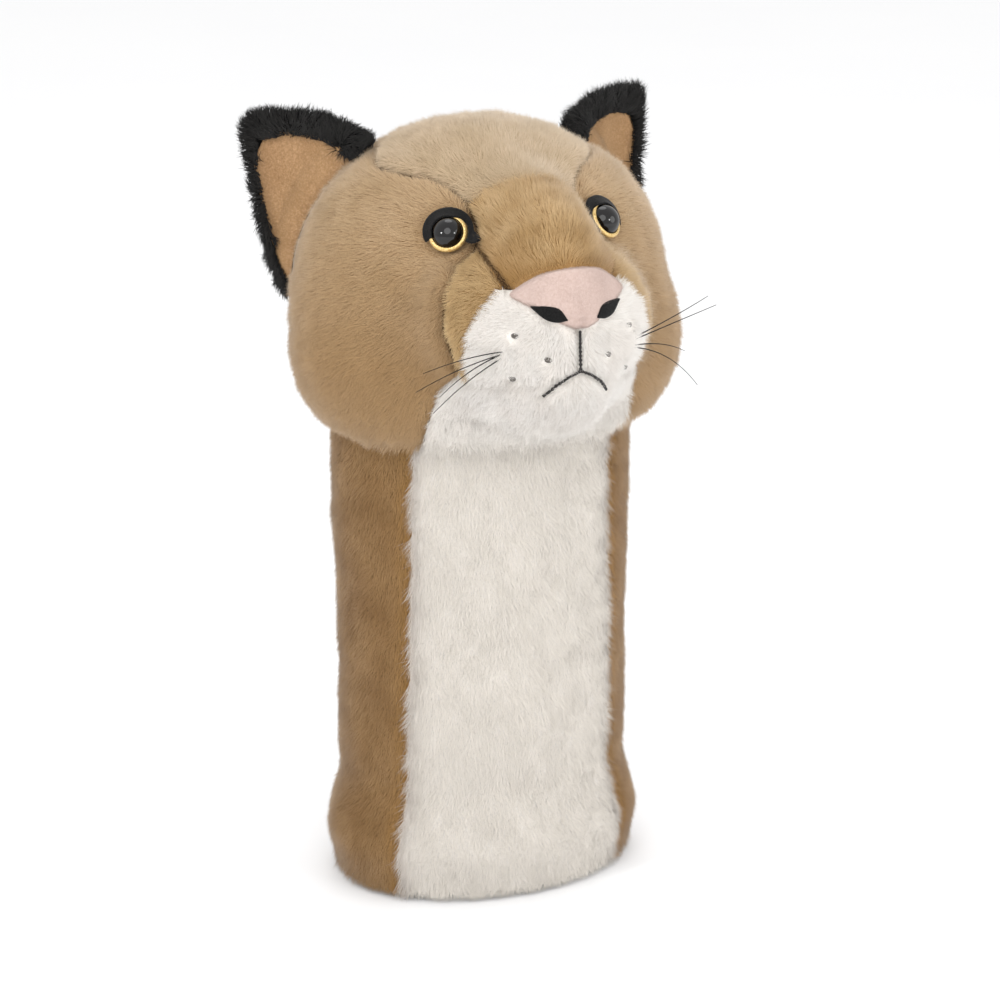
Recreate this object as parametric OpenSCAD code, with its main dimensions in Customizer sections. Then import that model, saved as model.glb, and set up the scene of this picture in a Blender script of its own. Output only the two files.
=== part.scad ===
// Plush driver head cover shaped as a mountain lion.
// The origin is the centre of the hem opening, +Z is up the sleeve, and the face looks towards -Y.
// The sleeve is an elliptical tube, and the head is a stuffed shell around a pocket for the club.

/* [Sleeve] */
// Width of the sleeve outside the plush
sleeve_w = 146; // [120:1:176]
// Depth of the sleeve outside the plush
sleeve_d = 108; // [88:1:132]
// Height from the hem to the line on which the head nods
sleeve_len = 220; // [180:1:270]
// Thickness of the plush fabric with its pile
plush_t = 3.5; // [2.5:0.1:4.5]
// Thickness of the satin lining
lining_t = 1.2; // [0.6:0.1:1.6]
// Width of the white belly panel at the neck
belly_w_neck = 100; // [80:1:116]
// Width of the white belly panel at the hem
belly_w_hem = 111; // [80:1:118]
// How far the hem bulges past the sleeve
hem_flare = 5; // [2:0.5:7]
// Height of the turned hem band
hem_band_h = 8; // [5:1:14]
// Thickness of the turned hem band
hem_band_t = 4; // [3:0.5:6]
// Height of the grip elastic above the hem
elastic_z = 52; // [40:1:70]
// Width of the grip elastic
elastic_w = 12; // [8:1:18]
// Thickness of the grip elastic
elastic_t = 1.2; // [0.8:0.1:2]

/* [Head] */
// Height of the head's centre above the line on which it nods
head_rise = 65; // [60:1:74]
// Height of the crown above the head's centre
crown_h = 74; // [66:1:90]
// How far the cranium stands out past the sleeve at each side
cranium_over_side = 15; // [12:1:24]
// How far the cranium stands out past the sleeve in front and behind
cranium_over_front = 18; // [14:1:26]
// How far the cheeks stand out past the sleeve at each side
cheek_over_side = 17; // [14:1:26]
// How much higher the head's lower edge lies at the throat than at its sides
throat_lift = 7; // [4:0.5:10]
// Half height of the cheeks
cheek_h = 59; // [54:1:66]
// Width of the muzzle
muzzle_w = 104; // [88:1:120]
// How far the muzzle stands out past the front of the sleeve
muzzle_reach = 61; // [52:1:72]
// Half height of the muzzle
muzzle_h = 38; // [32:1:44]
// Width of the bridge of the nose
bridge_w = 54; // [46:1:64]
// Width of the chin
chin_w = 56; // [46:1:68]

/* [Face] */
// Diameter of the safety eyes
eye_d = 18; // [15:0.5:22]
// How far the eye's dome stands out of its seat
eye_dome_h = 6; // [4:0.5:8]
// Width of the gold iris ring
iris_w = 1.7; // [1:0.1:2.4]
// Diameter of the eye's shank
shank_d = 4.5; // [3:0.5:6]
// Length of the eye's shank
shank_len = 14; // [12:1:18]
// Diameter of the washer that locks the shank
washer_d = 15; // [12:1:20]
// Thickness of that washer
washer_t = 2; // [1.5:0.5:3]
// Height of the felt eyelid above the eye's rim
lid_h = 4; // [4:0.5:7]
// Thickness of the felt used for the eyelids and nostrils
felt_t = 1.2; // [0.8:0.1:2]
// How far the padded nose stands out of the muzzle
nose_t = 2.6; // [1.5:0.1:4]
// Diameter of the mouth embroidery
stitch_d = 1.6; // [1:0.1:2.4]
// Diameter of the embroidered whisker dots
dot_d = 3.2; // [2:0.2:4.5]
// Diameter of a whisker
whisker_d = 0.6; // [0.5:0.1:1]
// Length of the longest whisker
whisker_len = 42; // [30:1:52]

/* [Ears] */
// Height of an ear from its seam to its tip
ear_len = 48; // [38:1:60]
// How deep the ear is cupped
ear_cup = 7; // [3:1:10]
// Thickness of the black plush on the back of the ear
ear_back_t = 3; // [2:0.5:4]
// Thickness of the velour lining of the ear
ear_lining_t = 1.6; // [1:0.2:2.4]
// Gap between the ear's seam and the head
ear_gap = 2; // [1.6:0.1:3]

/* [Club pocket] */
// Padding left above the pocket at the crown
crown_fill = 14; // [10:1:20]
// Height of the pocket lining's lower edge above the nod line
pocket_edge = 33; // [31:1:38]

/* [Clearances] */
// Gap between pieces of one body that lie on each other
lay_gap = 0.3; // [0.2:0.1:0.5]
// Gap between the sleeve and the inside of the head at the sides of the neck
neck_gap_side = 1.5; // [1.2:0.1:2]
// Gap between the sleeve and the inside of the head at the front of the neck
neck_gap_front = 2.4; // [2.2:0.1:3]
// Gap kept inside that one by the top edge of the sleeve
neck_keep = 0.9; // [0.8:0.1:1.2]
// Gap between the filling and the skin, and between the filling and the pocket
fill_gap = 1.6; // [1.2:0.1:2.4]
// Gap between the filling and the hollow that the neck turns in
fill_neck_gap = 1.8; // [1.4:0.1:2.4]

/* [Hidden] */

// Colours
tan_side = [0.55, 0.44, 0.29];
tan_face = [0.73, 0.62, 0.47];
tan_crown = [0.78, 0.70, 0.60];
tan_bridge = [0.74, 0.61, 0.44];
cream = [0.89, 0.86, 0.82];
felt_black = [0.10, 0.10, 0.10];
ear_tan = [0.70, 0.56, 0.42];
nose_pink = [0.92, 0.80, 0.76];
gold = [0.80, 0.62, 0.25];
satin = [0.20, 0.18, 0.16];
wadding = [0.95, 0.95, 0.93];

// Half sizes of the sleeve, the nod line and the head's centre
half_w = sleeve_w / 2;
half_d = sleeve_d / 2;
nod = [0, 0, sleeve_len];
centre = [0, 0, sleeve_len + head_rise];

// Angle left open between two sewn panels
seam = 0.12;

// ---------------------------------------------------------------- vectors and polylines
function unit(v) = v / norm(v);
function mix(a, b, t) = a * (1 - t) + b * t;
// A point on a polyline that is given as rows of [place, psi, theta]
function along(rows, v) = [lookup(v, [for (r = rows) [r[0], r[1]]]), lookup(v, [for (r = rows) [r[0], r[2]]])];
// The same polyline with its places spread evenly from 0 to 1
function evenly(points) = [for (i = [0:len(points) - 1]) [i / (len(points) - 1), points[i][0], points[i][1]]];
// A direction: psi is 0 at the face and turns towards +X, theta is 0 at the crown
function heading(psi, theta) = [sin(theta) * sin(psi), -sin(theta) * cos(psi), cos(theta)];

// ---------------------------------------------------------------- the head's outer surface
// Each lobe is an ellipsoid: its centre, measured from the head's centre, and its half sizes
LOBES = [
    [[0, 3, 5], [half_w + cranium_over_side, half_d + cranium_over_front, crown_h]],
    [[0, -8, -29], [half_w + cheek_over_side, half_d + cranium_over_front - 2, cheek_h]],
    [[0, -(half_d + muzzle_reach - 52), -1], [muzzle_w / 2, 52, muzzle_h]],
    [[0, -(half_d + muzzle_reach - 73), 24], [bridge_w / 2, 65, muzzle_h + 1]],
    [[0, -(half_d + muzzle_reach - 59), -24], [chin_w / 2, 55, muzzle_h - 9]]];
lobe_blend = 10;
lobe_unit = 100;

// Distance along d to the far side of a lobe
function lobe_reach(d, lobe) =
    let (u = [for (k = [0:2]) d[k] / lobe[1][k]],
         w = [for (k = [0:2]) lobe[0][k] / lobe[1][k]],
         a = u * u, b = u * w, c = w * w - 1)
    (b + sqrt(max(b * b - a * c, 0))) / a;
function power_sum(v, i = 0) =
    i == len(v) ? 0 : pow(abs(v[i]) / lobe_unit, lobe_blend) + power_sum(v, i + 1);
// Distance from the head's centre to its surface: a soft union of the lobes
function head_reach(d) =
    lobe_unit * pow(power_sum([for (l = LOBES) lobe_reach(d, l)]), 1 / lobe_blend);
// A point h above the surface in direction d, and one above the place nearest to p
function on_head(d, h = 0) = centre + (head_reach(d) + h) * d;
function above(p, h = 0) = on_head(unit(p - centre), h);
// The outward normal of the surface
function head_normal(psi, theta) =
    unit(cross(on_head(heading(psi, theta + 1)) - on_head(heading(psi, theta - 1)),
               on_head(heading(psi + 1, theta)) - on_head(heading(psi - 1, theta))));

// ---------------------------------------------------------------- the neck
// Inside the neck, the head keeps clear of an ellipsoid that is round about the nod line
neck_half = [half_w + neck_gap_side, half_d + neck_gap_front, half_d + neck_gap_front];
function neck_level(p) =
    let (q = p - nod) norm([q.x / neck_half.x, q.y / neck_half.y, q.z / neck_half.z]);
// The lowest theta at which a sheet `deep` below the surface is clear of it and above the nod line
function clears(d, deep, rise) =
    let (p = on_head(d, -deep), front = max(-d.y, 0) / norm([d.x, d.y]))
    neck_level(p) > 1 && p.z > nod.z + rise + throat_lift * front * front;
function rim_search(psi, deep, rise, low, high, left) =
    left == 0 ? low :
    let (mid = (low + high) / 2)
    clears(heading(psi, mid), deep, rise) ? rim_search(psi, deep, rise, mid, high, left - 1)
                                          : rim_search(psi, deep, rise, low, mid, left - 1);
rim_rise = 1;
function rim(psi) = rim_search(psi, plush_t, rim_rise, 100, 160, 14);

// ---------------------------------------------------------------- solids from grids of points
// A closed solid between an outer and an inner grid. Rows run down and columns run to the right,
// seen from outside. With wrap, the last column joins the first. With poles, a point closes the top.
module grid_solid(outer, inner, wrap = false, poles = []) {
    rows = len(outer);
    cols = len(outer[0]);
    inside = rows * cols;
    last = wrap ? cols - 1 : cols - 2;
    points = concat([for (r = outer) each r], [for (r = inner) each r], poles);
    top_out = 2 * inside;
    top_in = top_out + 1;
    skin = [for (i = [0:rows - 2], j = [0:last])
        let (a = i * cols + j, b = i * cols + (j + 1) % cols, c = b + cols, d = a + cols)
        each [[a, b, c], [a, c, d],
              [a + inside, c + inside, b + inside], [a + inside, d + inside, c + inside]]];
    low = (rows - 1) * cols;
    foot = [for (j = [0:last])
        let (a = low + j, b = low + (j + 1) % cols)
        each [[a, b, b + inside], [a, b + inside, a + inside]]];
    head = len(poles) == 0
        ? [for (j = [0:last])
            let (a = j, b = (j + 1) % cols)
            each [[a + inside, b + inside, b], [a + inside, b, a]]]
        : [for (j = [0:last])
            let (a = j, b = (j + 1) % cols)
            each [[top_out, b, a], [top_in, a + inside, b + inside]]];
    edges = wrap ? [] : [for (i = [0:rows - 2])
        let (a = i * cols, d = a + cols, e = a + cols - 1, f = e + cols)
        each [[a + inside, a, d], [a + inside, d, d + inside],
              [e, e + inside, f + inside], [e, f + inside, f]]];
    polyhedron(points, concat(skin, foot, head, edges), convexity = 8);
}

// A round tube swept along a path, with a radius at each point
module tube(path, radii, sides = 6) {
    n = len(path);
    rings = [for (i = [0:n - 1])
        let (t = unit(path[min(i + 1, n - 1)] - path[max(i - 1, 0)]),
             side = unit(cross(t, abs(t.z) > 0.8 ? [1, 0, 0] : [0, 0, 1])),
             other = cross(t, side))
        [for (k = [0:sides - 1]) path[i] + radii[i] * (cos(360 * k / sides) * side + sin(360 * k / sides) * other)]];
    wall = [for (i = [0:n - 2], k = [0:sides - 1])
        let (a = i * sides + k, b = i * sides + (k + 1) % sides, c = b + sides, d = a + sides)
        each [[a, d, c], [a, c, b]]];
    caps = [[for (k = [0:sides - 1]) k], [for (k = [sides - 1:-1:0]) (n - 1) * sides + k]];
    polyhedron([for (r = rings) each r], concat(wall, caps), convexity = 6);
}

// A piece of the head's skin. f gives the direction for u, which grows with psi, and v, which grows
// downwards. It is written for the animal's left, and side = -1 mirrors it.
module head_piece(f, nu, nv, top = 0, deep = plush_t, side = 1) {
    function place(u, v) =
        let (d = f(side > 0 ? u : 1 - u, v)) [side * d.x, d.y, d.z];
    outer = [for (i = [0:nv]) [for (j = [0:nu]) on_head(place(j / nu, i / nv), top)]];
    inner = [for (i = [0:nv]) [for (j = [0:nu]) on_head(place(j / nu, i / nv), top - deep)]];
    grid_solid(outer, inner);
}

// Places a child at the eye of one side, with +Z out of the face
eye_at = [34, 60.5];
module at_eye(side, out = 0) {
    n = head_normal(side * eye_at[0], eye_at[1]);
    spot = on_head(heading(side * eye_at[0], eye_at[1]));
    translate(spot + n * out) rotate([0, acos(n.z), atan2(n.y, n.x)]) children();
}

// ---------------------------------------------------------------- seam lines on the head, [psi, theta]
brow = evenly([[104, 36], [83, 41], [66, 40], [50, 39], [36, 42.5], [27, 48]]);
bridge_side = evenly([[27, 48], [22.5, 57], [21.8, 65], [17.7, 73], [14.6, 78.6]]);
// Where the cheek's front edge meets the rim
neck_corner = 44;
// From the ear over the brow, down the fold beside the muzzle and along the throat to the rim
cheek_front = [[0, 104, 36], [0.06, 83, 41], [0.12, 66, 40], [0.19, 50, 39], [0.26, 36, 42.5],
    [0.33, 27, 48], [0.41, 22.5, 57], [0.48, 23, 65], [0.53, 28.5, 71], [0.62, 32, 81],
    [0.7, 32, 90], [0.8, 27.5, 102], [0.88, 34, 110], [1, neck_corner, rim(neck_corner)]];
ear_line = 107;
cheek_back = [[0, ear_line, 37], [1, ear_line, rim(ear_line)]];
// The strip between the fold and the white muzzle
strip_in = [[0, 22, 65.5], [0.25, 16.5, 78], [0.5, 22, 84.5], [0.7, 25, 90.6], [0.88, 25.4, 97], [1, 24.6, 104]];
strip_out = [[0, 23.4, 65.6], [0.12, 28.5, 71], [0.4, 32, 81], [0.7, 32, 90], [1, 27.5, 102]];
// The white muzzle's outer edge, and the line of the mouth from the middle outwards
white_edge = [[0, 16.5, 78.4], [0.3, 22, 84.5], [0.6, 25, 90.6], [0.85, 25.4, 97], [1, 24.6, 104]];
mouth_at = 97;
throat_top = 118;
// The cheek's front edge beside the chin and the throat, as psi at a theta
function cheek_edge(theta) = lookup(theta, [[102, 27.5], [110, 34], [rim(neck_corner), neck_corner]]);

function polar(a) = heading(a[0], a[1]);
function between(a, b, u) = polar(mix(a, b, u));

// ---------------------------------------------------------------- the sleeve
// How far the sleeve's wall swells or draws in at a height
waist_in = 1.5;
function swell(z) =
    hem_flare * exp(-pow((z - 24) / 16, 2))
    - waist_in * exp(-pow((z - elastic_z) / 12, 2))
    - waist_in * pow(sin(180 * min(max(z / sleeve_len, 0), 1)), 2);
// Height of the sleeve's top edge: as high as the inside of the neck leaves room for
function top_of(turn) =
    let (x = half_w * sin(turn), y = half_d * cos(turn), keep = neck_half - neck_keep * [1, 1, 1],
         room = keep.y * sqrt(1 - pow(x / keep.x, 2)))
    sleeve_len + sqrt(max(room * room - y * y, 1));
// A point on the sleeve `deep` under its outside. turn is 0 at the belly and grows towards +X
function on_sleeve(turn, z, deep = 0) =
    let (s = swell(z) - deep) [(half_w + s) * sin(turn), -(half_d + s) * cos(turn), z];
function sleeve_grid(from, to, cols, rows, low, deep) =
    [for (i = [0:rows]) [for (j = [0:cols])
        let (z = mix(top_of(mix(from[1], to[1], j / cols)), low, 1 - pow(1 - i / rows, 1.5)),
             share = z / sleeve_len,
             turn = mix(mix(from[0], from[1], share), mix(to[0], to[1], share), j / cols))
        on_sleeve(turn, z, deep)]];

// Sleeve seams, as turns [at the hem, at the neck]
belly_edge = [asin(belly_w_hem / sleeve_w), asin(belly_w_neck / sleeve_w)];
back_edge = [180 - belly_edge[0] + 4, 180 - belly_edge[1] + 4];
panel_low = 0.6;

module sleeve_panel(from, to, cols) {
    rows = 16;
    a = from + [seam, seam];
    b = to - [seam, seam];
    grid_solid(sleeve_grid(a, b, cols, rows, panel_low, 0),
               sleeve_grid(a, b, cols, rows, panel_low, plush_t));
}
module sleeve_tube(low, high, outside, inside, cols, rows) {
    function ring(z, deep) = [for (j = [0:cols - 1]) on_sleeve(360 * j / cols, z, deep)];
    heights = [for (i = [0:rows]) mix(high, low, 1 - pow(1 - i / rows, 1.3))];
    grid_solid([for (z = heights) ring(z, outside)], [for (z = heights) ring(z, inside)], wrap = true);
}

module belly_panel() {
    color(cream) sleeve_panel(-belly_edge, belly_edge, 14);
}
module side_panel_left() {
    color(tan_side) sleeve_panel(belly_edge, back_edge, 12);
}
module side_panel_right() {
    color(tan_side) sleeve_panel(-back_edge, -belly_edge, 12);
}
module back_panel() {
    color(tan_side) sleeve_panel(back_edge, [360, 360] - back_edge, 12);
}
// Facets cut into the round of a tube by more as it gets wider
facet_gap = 0.0041 * max(half_w, half_d);
lining_out = plush_t + lay_gap + facet_gap;
lining_in = lining_out + lining_t;
module sleeve_lining() {
    color(satin) sleeve_tube(hem_band_h + lay_gap, sleeve_len + 6, lining_out, lining_in, 40, 24);
}
// The hem band rests flat on z = 0, inside the panels
module hem_band() {
    function outline(deep) = [for (j = [0:47])
        [(half_w - deep) * sin(7.5 * j), -(half_d - deep) * cos(7.5 * j)]];
    color(satin) linear_extrude(hem_band_h) difference() {
        polygon(outline(plush_t + lay_gap));
        polygon(outline(plush_t + lay_gap + hem_band_t));
    }
}
module grip_elastic() {
    deep = lining_in + lay_gap;
    color([0.15, 0.15, 0.15])
        sleeve_tube(elastic_z - elastic_w / 2, elastic_z + elastic_w / 2, deep, deep + elastic_t, 36, 3);
}

// ---------------------------------------------------------------- the head's panels
module forehead_gusset() {
    // Rows run straight from seam to seam, from the line between the ears down to the bridge
    f = function (u, v)
        let (a = along(brow, mix(0.005, 0.985, v)), half = polar(a - [seam, 0]))
        unit(mix([-half.x, half.y, half.z], half, u));
    color(tan_crown) head_piece(f, 20, 12);
}
module nose_bridge() {
    f = function (u, v)
        let (a = along(bridge_side, mix(0.015, 0.99, v)), half = polar(a - [seam, 0]))
        unit(mix([-half.x, half.y, half.z], half, u));
    color(tan_bridge) head_piece(f, 10, 9);
}
module cheek(side) {
    // The lower edge follows the rim all the way from the throat to the ear line
    low = 0.8;
    f = function (u, v)
        let (w = mix(0.01, 0.995, v),
             a = mix(along(cheek_front, w) + [seam, seam], along(cheek_back, w) - [seam, 0], u),
             share = max(w - low, 0) / (1 - low),
             drop = share > 0 ? rim(a[0]) - mix(rim(neck_corner), rim(ear_line), u) : 0)
        polar(a + [0, drop * share * share]);
    color(tan_face) head_piece(f, 12, 22, side = side);
}
module cheek_left() {
    cheek(1);
}
module cheek_right() {
    cheek(-1);
}
// Behind the ears. The top edge is the straight seam from ear to ear
module head_back(side) {
    ear_top = 37;
    seam_line = cos(ear_line) * tan(ear_top);
    f = function (u, v)
        let (psi = mix(ear_line + seam, 180 - seam, u),
             top = atan2(seam_line, cos(psi)),
             theta = mix(top < 0 ? top + 180 : top, rim(psi), mix(0.01, 0.995, v)))
        heading(psi, theta);
    color(tan_face) head_piece(f, 9, 14, side = side);
}
module head_back_left() {
    head_back(1);
}
module head_back_right() {
    head_back(-1);
}
module muzzle_side(side) {
    f = function (u, v)
        between(along(strip_in, mix(0.02, 0.98, v)) + [seam, 0],
                along(strip_out, mix(0.02, 0.98, v)) - [5 * seam, 0], u);
    color(tan_bridge) head_piece(f, 3, 12, side = side);
}
module muzzle_side_left() {
    muzzle_side(1);
}
module muzzle_side_right() {
    muzzle_side(-1);
}
module muzzle_pad(side) {
    f = function (u, v)
        let (edge = along(white_edge, v) - [seam, 0],
             middle = [seam, mix(79, mouth_at, v)])
        between(middle, edge, u);
    color(cream) head_piece(f, 6, 9, side = side);
}
module muzzle_pad_left() {
    muzzle_pad(1);
}
module muzzle_pad_right() {
    muzzle_pad(-1);
}
// The chin runs from the mouth down to the throat, between the cheeks
module chin() {
    corner = 105.9;
    f = function (u, v)
        let (s = 2 * u - 1,
             top = mix(mouth_at + 0.4, corner, abs(s)),
             side = mix(corner, throat_top, v))
        heading((cheek_edge(side) - 4 * seam) * s, mix(top, throat_top, v));
    color(cream) head_piece(f, 12, 7);
}
module throat() {
    f = function (u, v)
        let (s = 2 * u - 1,
             top = throat_top + 2 * seam,
             side = mix(top, rim(neck_corner) - 2 * seam, v))
        heading((cheek_edge(side) - 4 * seam) * s, mix(top, rim(neck_corner * s) - 2 * seam, v));
    color(cream) head_piece(f, 10, 4);
}

// ---------------------------------------------------------------- nose and mouth
module nose_pad() {
    edge = evenly([[1.5, 74.3], [7.5, 75.2], [12, 77.4], [14.6, 79.6], [12, 81.4], [8, 83.4], [4, 86], [1, 87.2]]);
    f = function (u, v)
        let (a = along(edge, v), half = polar(a))
        unit(mix([-half.x, half.y, half.z], half, u));
    color(nose_pink) head_piece(f, 8, 10, top = lay_gap + nose_t, deep = nose_t);
}
module nostril(side) {
    upper = evenly([[3, 84.4], [5, 82.7], [8, 82], [10.3, 82.6]]);
    lower = evenly([[3, 85], [5.5, 85.9], [8.5, 85.2], [10.3, 83]]);
    // u runs outwards along the nostril and v runs down across it
    f = function (u, v) polar(mix(along(upper, u), along(lower, u), v));
    color(felt_black) head_piece(f, 6, 2, top = 2 * lay_gap + nose_t + felt_t, deep = felt_t, side = side);
}
module nostril_left() {
    nostril(1);
}
module nostril_right() {
    nostril(-1);
}
// Embroidery from the nose down to the mouth, and out along each lip
module mouth_stitch() {
    radius = stitch_d / 2;
    lip = evenly([[0, 96.4], [2.5, 97.6], [5, 99.6], [7.2, 102.4]]);
    function thread(places) = [for (a = places) on_head(polar(a), radius + lay_gap)];
    color(felt_black) union() {
        tube(thread([for (i = [0:5]) [0, mix(87.8, 96, i / 5)]]), [for (i = [0:5]) radius]);
        for (side = [-1, 1])
            tube(thread([for (i = [0:6]) let (a = along(lip, mix(0.06, 1, i / 6))) [side * (a[0] + 1.3), a[1]]]),
                 [for (i = [0:6]) radius * mix(1, 0.6, i / 6)]);
    }
}
dots = [[14, 88.6], [7, 93.8], [14.3, 99]];
module whisker_dots(side) {
    color(felt_black) for (a = dots) {
        d = heading(side * a[0], a[1]);
        n = head_normal(side * a[0], a[1]);
        translate(on_head(d) + n * lay_gap) rotate([0, acos(n.z), atan2(n.y, n.x)])
            cylinder(h = felt_t, d = dot_d, $fn = 24);
    }
}
module whisker_dots_left() {
    whisker_dots(1);
}
module whisker_dots_right() {
    whisker_dots(-1);
}
// Whiskers: root place, share of the longest length, rise of the tip
whisker_set = [[17, 92, 0.94, 0.22], [18, 94, 1, -0.06], [17, 96.5, 0.86, -0.34], [16, 94.5, 0.74, -0.62]];
module whiskers(side) {
    color(felt_black) for (w = whisker_set) {
        root = on_head(heading(side * w[0], w[1]), 0.6);
        out = unit([side * 0.9, -0.12, w[3]]);
        tube([for (i = [0:5])
                let (t = i / 5)
                root + whisker_len * w[2] * (out * t + [0, 0.12, -0.1] * t * t)],
             [for (i = [0:5]) whisker_d / 2], 5);
    }
}
module whiskers_left() {
    whiskers(1);
}
module whiskers_right() {
    whiskers(-1);
}

// ---------------------------------------------------------------- eyes
// Height of the eye's seat above the skin: clear of the head where it rises round the iris
seat_gap = 0.4;
function eye_rise(angle) =
    let (n = head_normal(eye_at[0], eye_at[1]),
         spot = on_head(heading(eye_at[0], eye_at[1])),
         up = unit([0, 0, 1] - n * n.z),
         outwards = unit(cross(up, n)),
         rim_point = spot + eye_d / 2 * (cos(angle) * outwards + sin(angle) * up))
    (on_head(unit(rim_point - centre)) - spot) * n;
seat = seat_gap + max([for (angle = [0:15:345]) eye_rise(angle)]);
// A glossy dome with its shank, which passes through the skin into the washer
module eye(side) {
    dome_r = eye_d / 2 - iris_w;
    ball = (dome_r * dome_r + eye_dome_h * eye_dome_h) / (2 * eye_dome_h);
    color([0.03, 0.03, 0.03]) at_eye(side, seat) union() {
        intersection() {
            translate([0, 0, eye_dome_h - ball]) sphere(r = ball, $fn = 48);
            cylinder(h = eye_dome_h + 1, r = dome_r, $fn = 48);
        }
        translate([0, 0, -shank_len]) cylinder(h = shank_len + 0.5, d = shank_d, $fn = 32);
    }
}
module eye_left() {
    eye(1);
}
module eye_right() {
    eye(-1);
}
module iris(side) {
    color(gold) at_eye(side, seat) difference() {
        cylinder(h = 1.6, d1 = eye_d, d2 = eye_d - 1, $fn = 48);
        translate([0, 0, -1]) cylinder(h = 4, r = eye_d / 2 - iris_w + 0.05, $fn = 48);
    }
}
module iris_left() {
    iris(1);
}
module iris_right() {
    iris(-1);
}
module eye_washer(side) {
    color([0.9, 0.9, 0.88]) at_eye(side, seat - shank_len + 2) difference() {
        cylinder(h = washer_t, d = washer_d, $fn = 40);
        translate([0, 0, -1]) cylinder(h = washer_t + 2, d = shank_d + 0.1, $fn = 32);
    }
}
module eye_washer_left() {
    eye_washer(1);
}
module eye_washer_right() {
    eye_washer(-1);
}
// A felt crescent over the eye that runs down to a point at the inner corner
module eyelid(side) {
    n = head_normal(side * eye_at[0], eye_at[1]);
    spot = on_head(heading(side * eye_at[0], eye_at[1]));
    up = unit([0, 0, 1] - n * n.z);
    outwards = side * unit(cross(up, n));
    near = eye_d / 2 + 0.4;
    // t runs over the eye from its outer corner to its inner corner, which ends in a point
    function round_eye(angle, reach) = spot + reach * (cos(angle) * outwards + sin(angle) * up);
    function width(t) = lid_h * sqrt(sin(180 * mix(0.03, 0.98, t))) + 3.5 * exp(-pow((t - 0.93) / 0.05, 2));
    lid_gap = 3 * lay_gap;
    cols = 14;
    function row(extra, h) = [for (j = [0:cols])
        let (t = side > 0 ? 1 - j / cols : j / cols)
        above(round_eye(mix(-24, 204, t), near + (extra ? width(t) : 0)), h)];
    color(felt_black)
        grid_solid([row(true, lid_gap + felt_t), row(false, lid_gap + felt_t)],
                   [row(true, lid_gap), row(false, lid_gap)]);
}
module eyelid_left() {
    eyelid(1);
}
module eyelid_right() {
    eyelid(-1);
}

// ---------------------------------------------------------------- inside the head
pocket_half = [half_w - 6, half_d - 6, crown_h - crown_fill];
pocket_square = 4;
// Distance from the head's centre to the wall of the pocket, in direction d
function pocket_reach(d) =
    pow(pow(pow(d.x / pocket_half.x, 2) + pow(d.y / pocket_half.y, 2), pocket_square / 2)
        + pow(abs(d.z) / pocket_half.z, pocket_square), -1 / pocket_square);
// Distance from the head's centre to the far side of the neck's hollow, or 0 where d misses it
function hollow_reach(d) =
    let (w = nod - centre,
         u = [for (k = [0:2]) d[k] / neck_half[k]],
         q = [for (k = [0:2]) w[k] / neck_half[k]],
         a = u * u, b = u * q, c = q * q - 1, disc = b * b - a * c)
    disc <= 0 || b <= 0 ? 0 : (b + sqrt(disc)) / a;

module head_stuffing() {
    cols = 60;
    rows = 26;
    top = plush_t + fill_gap;
    thin = 1.5;
    function low(psi) = rim_search(psi, top + fill_neck_gap + thin, rim_rise + 3, 100, 160, 14);
    function spot(i, j) = heading(360 * j / cols, mix(4, low(360 * j / cols), i / rows));
    outer = [for (i = [0:rows]) [for (j = [0:cols - 1]) on_head(spot(i, j), -top)]];
    inner = [for (i = [0:rows]) [for (j = [0:cols - 1])
        let (d = spot(i, j))
        centre + max(pocket_reach(d) + fill_gap, hollow_reach(d) + fill_neck_gap) * d]];
    crown = [0, 0, 1];
    color(wadding) grid_solid(outer, inner, wrap = true,
        poles = [on_head(crown, -top), centre + (pocket_reach(crown) + fill_gap) * crown]);
}
module pocket_lining() {
    cols = 36;
    rows = 12;
    function low(psi) =
        let (d = heading(psi, 90), edge = head_rise - pocket_edge) 90 + atan(edge / pocket_reach(d));
    function spot(i, j) = heading(360 * j / cols, mix(6, low(360 * j / cols), i / rows));
    function wall(deep) = [for (i = [0:rows]) [for (j = [0:cols - 1])
        let (d = spot(i, j)) centre + (pocket_reach(d) - deep) * d]];
    crown = [0, 0, 1];
    color(satin) grid_solid(wall(0), wall(lining_t), wrap = true,
        poles = [centre + pocket_half.z * crown, centre + (pocket_half.z - lining_t) * crown]);
}

// ---------------------------------------------------------------- ears
// The ear's seam runs down the head between these two directions, and its tip points along ear_out
ear_base = [[106, 37], [109, 91]];
ear_out = unit([0.47, 0.38, 0.79]);
function ear_seam(q) = on_head(polar(mix(ear_base[0], ear_base[1], q)), ear_gap);
// A point of the ear: q runs along its seam from the crown, t runs out to the tip
function ear_point(q, t, off) =
    let (middle = ear_seam(0.5),
         face = unit(cross(ear_seam(1) - ear_seam(0), ear_out)),
         narrow = pow(1 - pow(min(t, 1), 1.5), 0.85),
         cup = ear_cup * sin(180 * min(t + 0.08, 1)) * (1 - pow(2 * q - 1, 2)),
         p = middle + t * ear_len * ear_out + (ear_seam(q) - middle) * narrow)
    p + face * (off - cup * min(1, 4 * t));
module ear_sheet(side, near, far, q_range, t_range) {
    cols = 10;
    rows = 10;
    // Rows run down from the tip to the seam, and columns run to the right seen from the face
    function layer(off) = [for (i = [0:rows]) [for (j = [0:cols])
        let (q = mix(q_range[0], q_range[1], side > 0 ? j / cols : 1 - j / cols),
             p = ear_point(q, mix(t_range[1], t_range[0], i / rows), off))
        [side * p.x, p.y, p.z]]];
    grid_solid(layer(far), layer(near));
}
module ear_back(side) {
    color(felt_black) ear_sheet(side, -ear_back_t - 0.1, -0.1, [0, 1], [0, 0.985]);
}
module ear_back_left() {
    ear_back(1);
}
module ear_back_right() {
    ear_back(-1);
}
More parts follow.
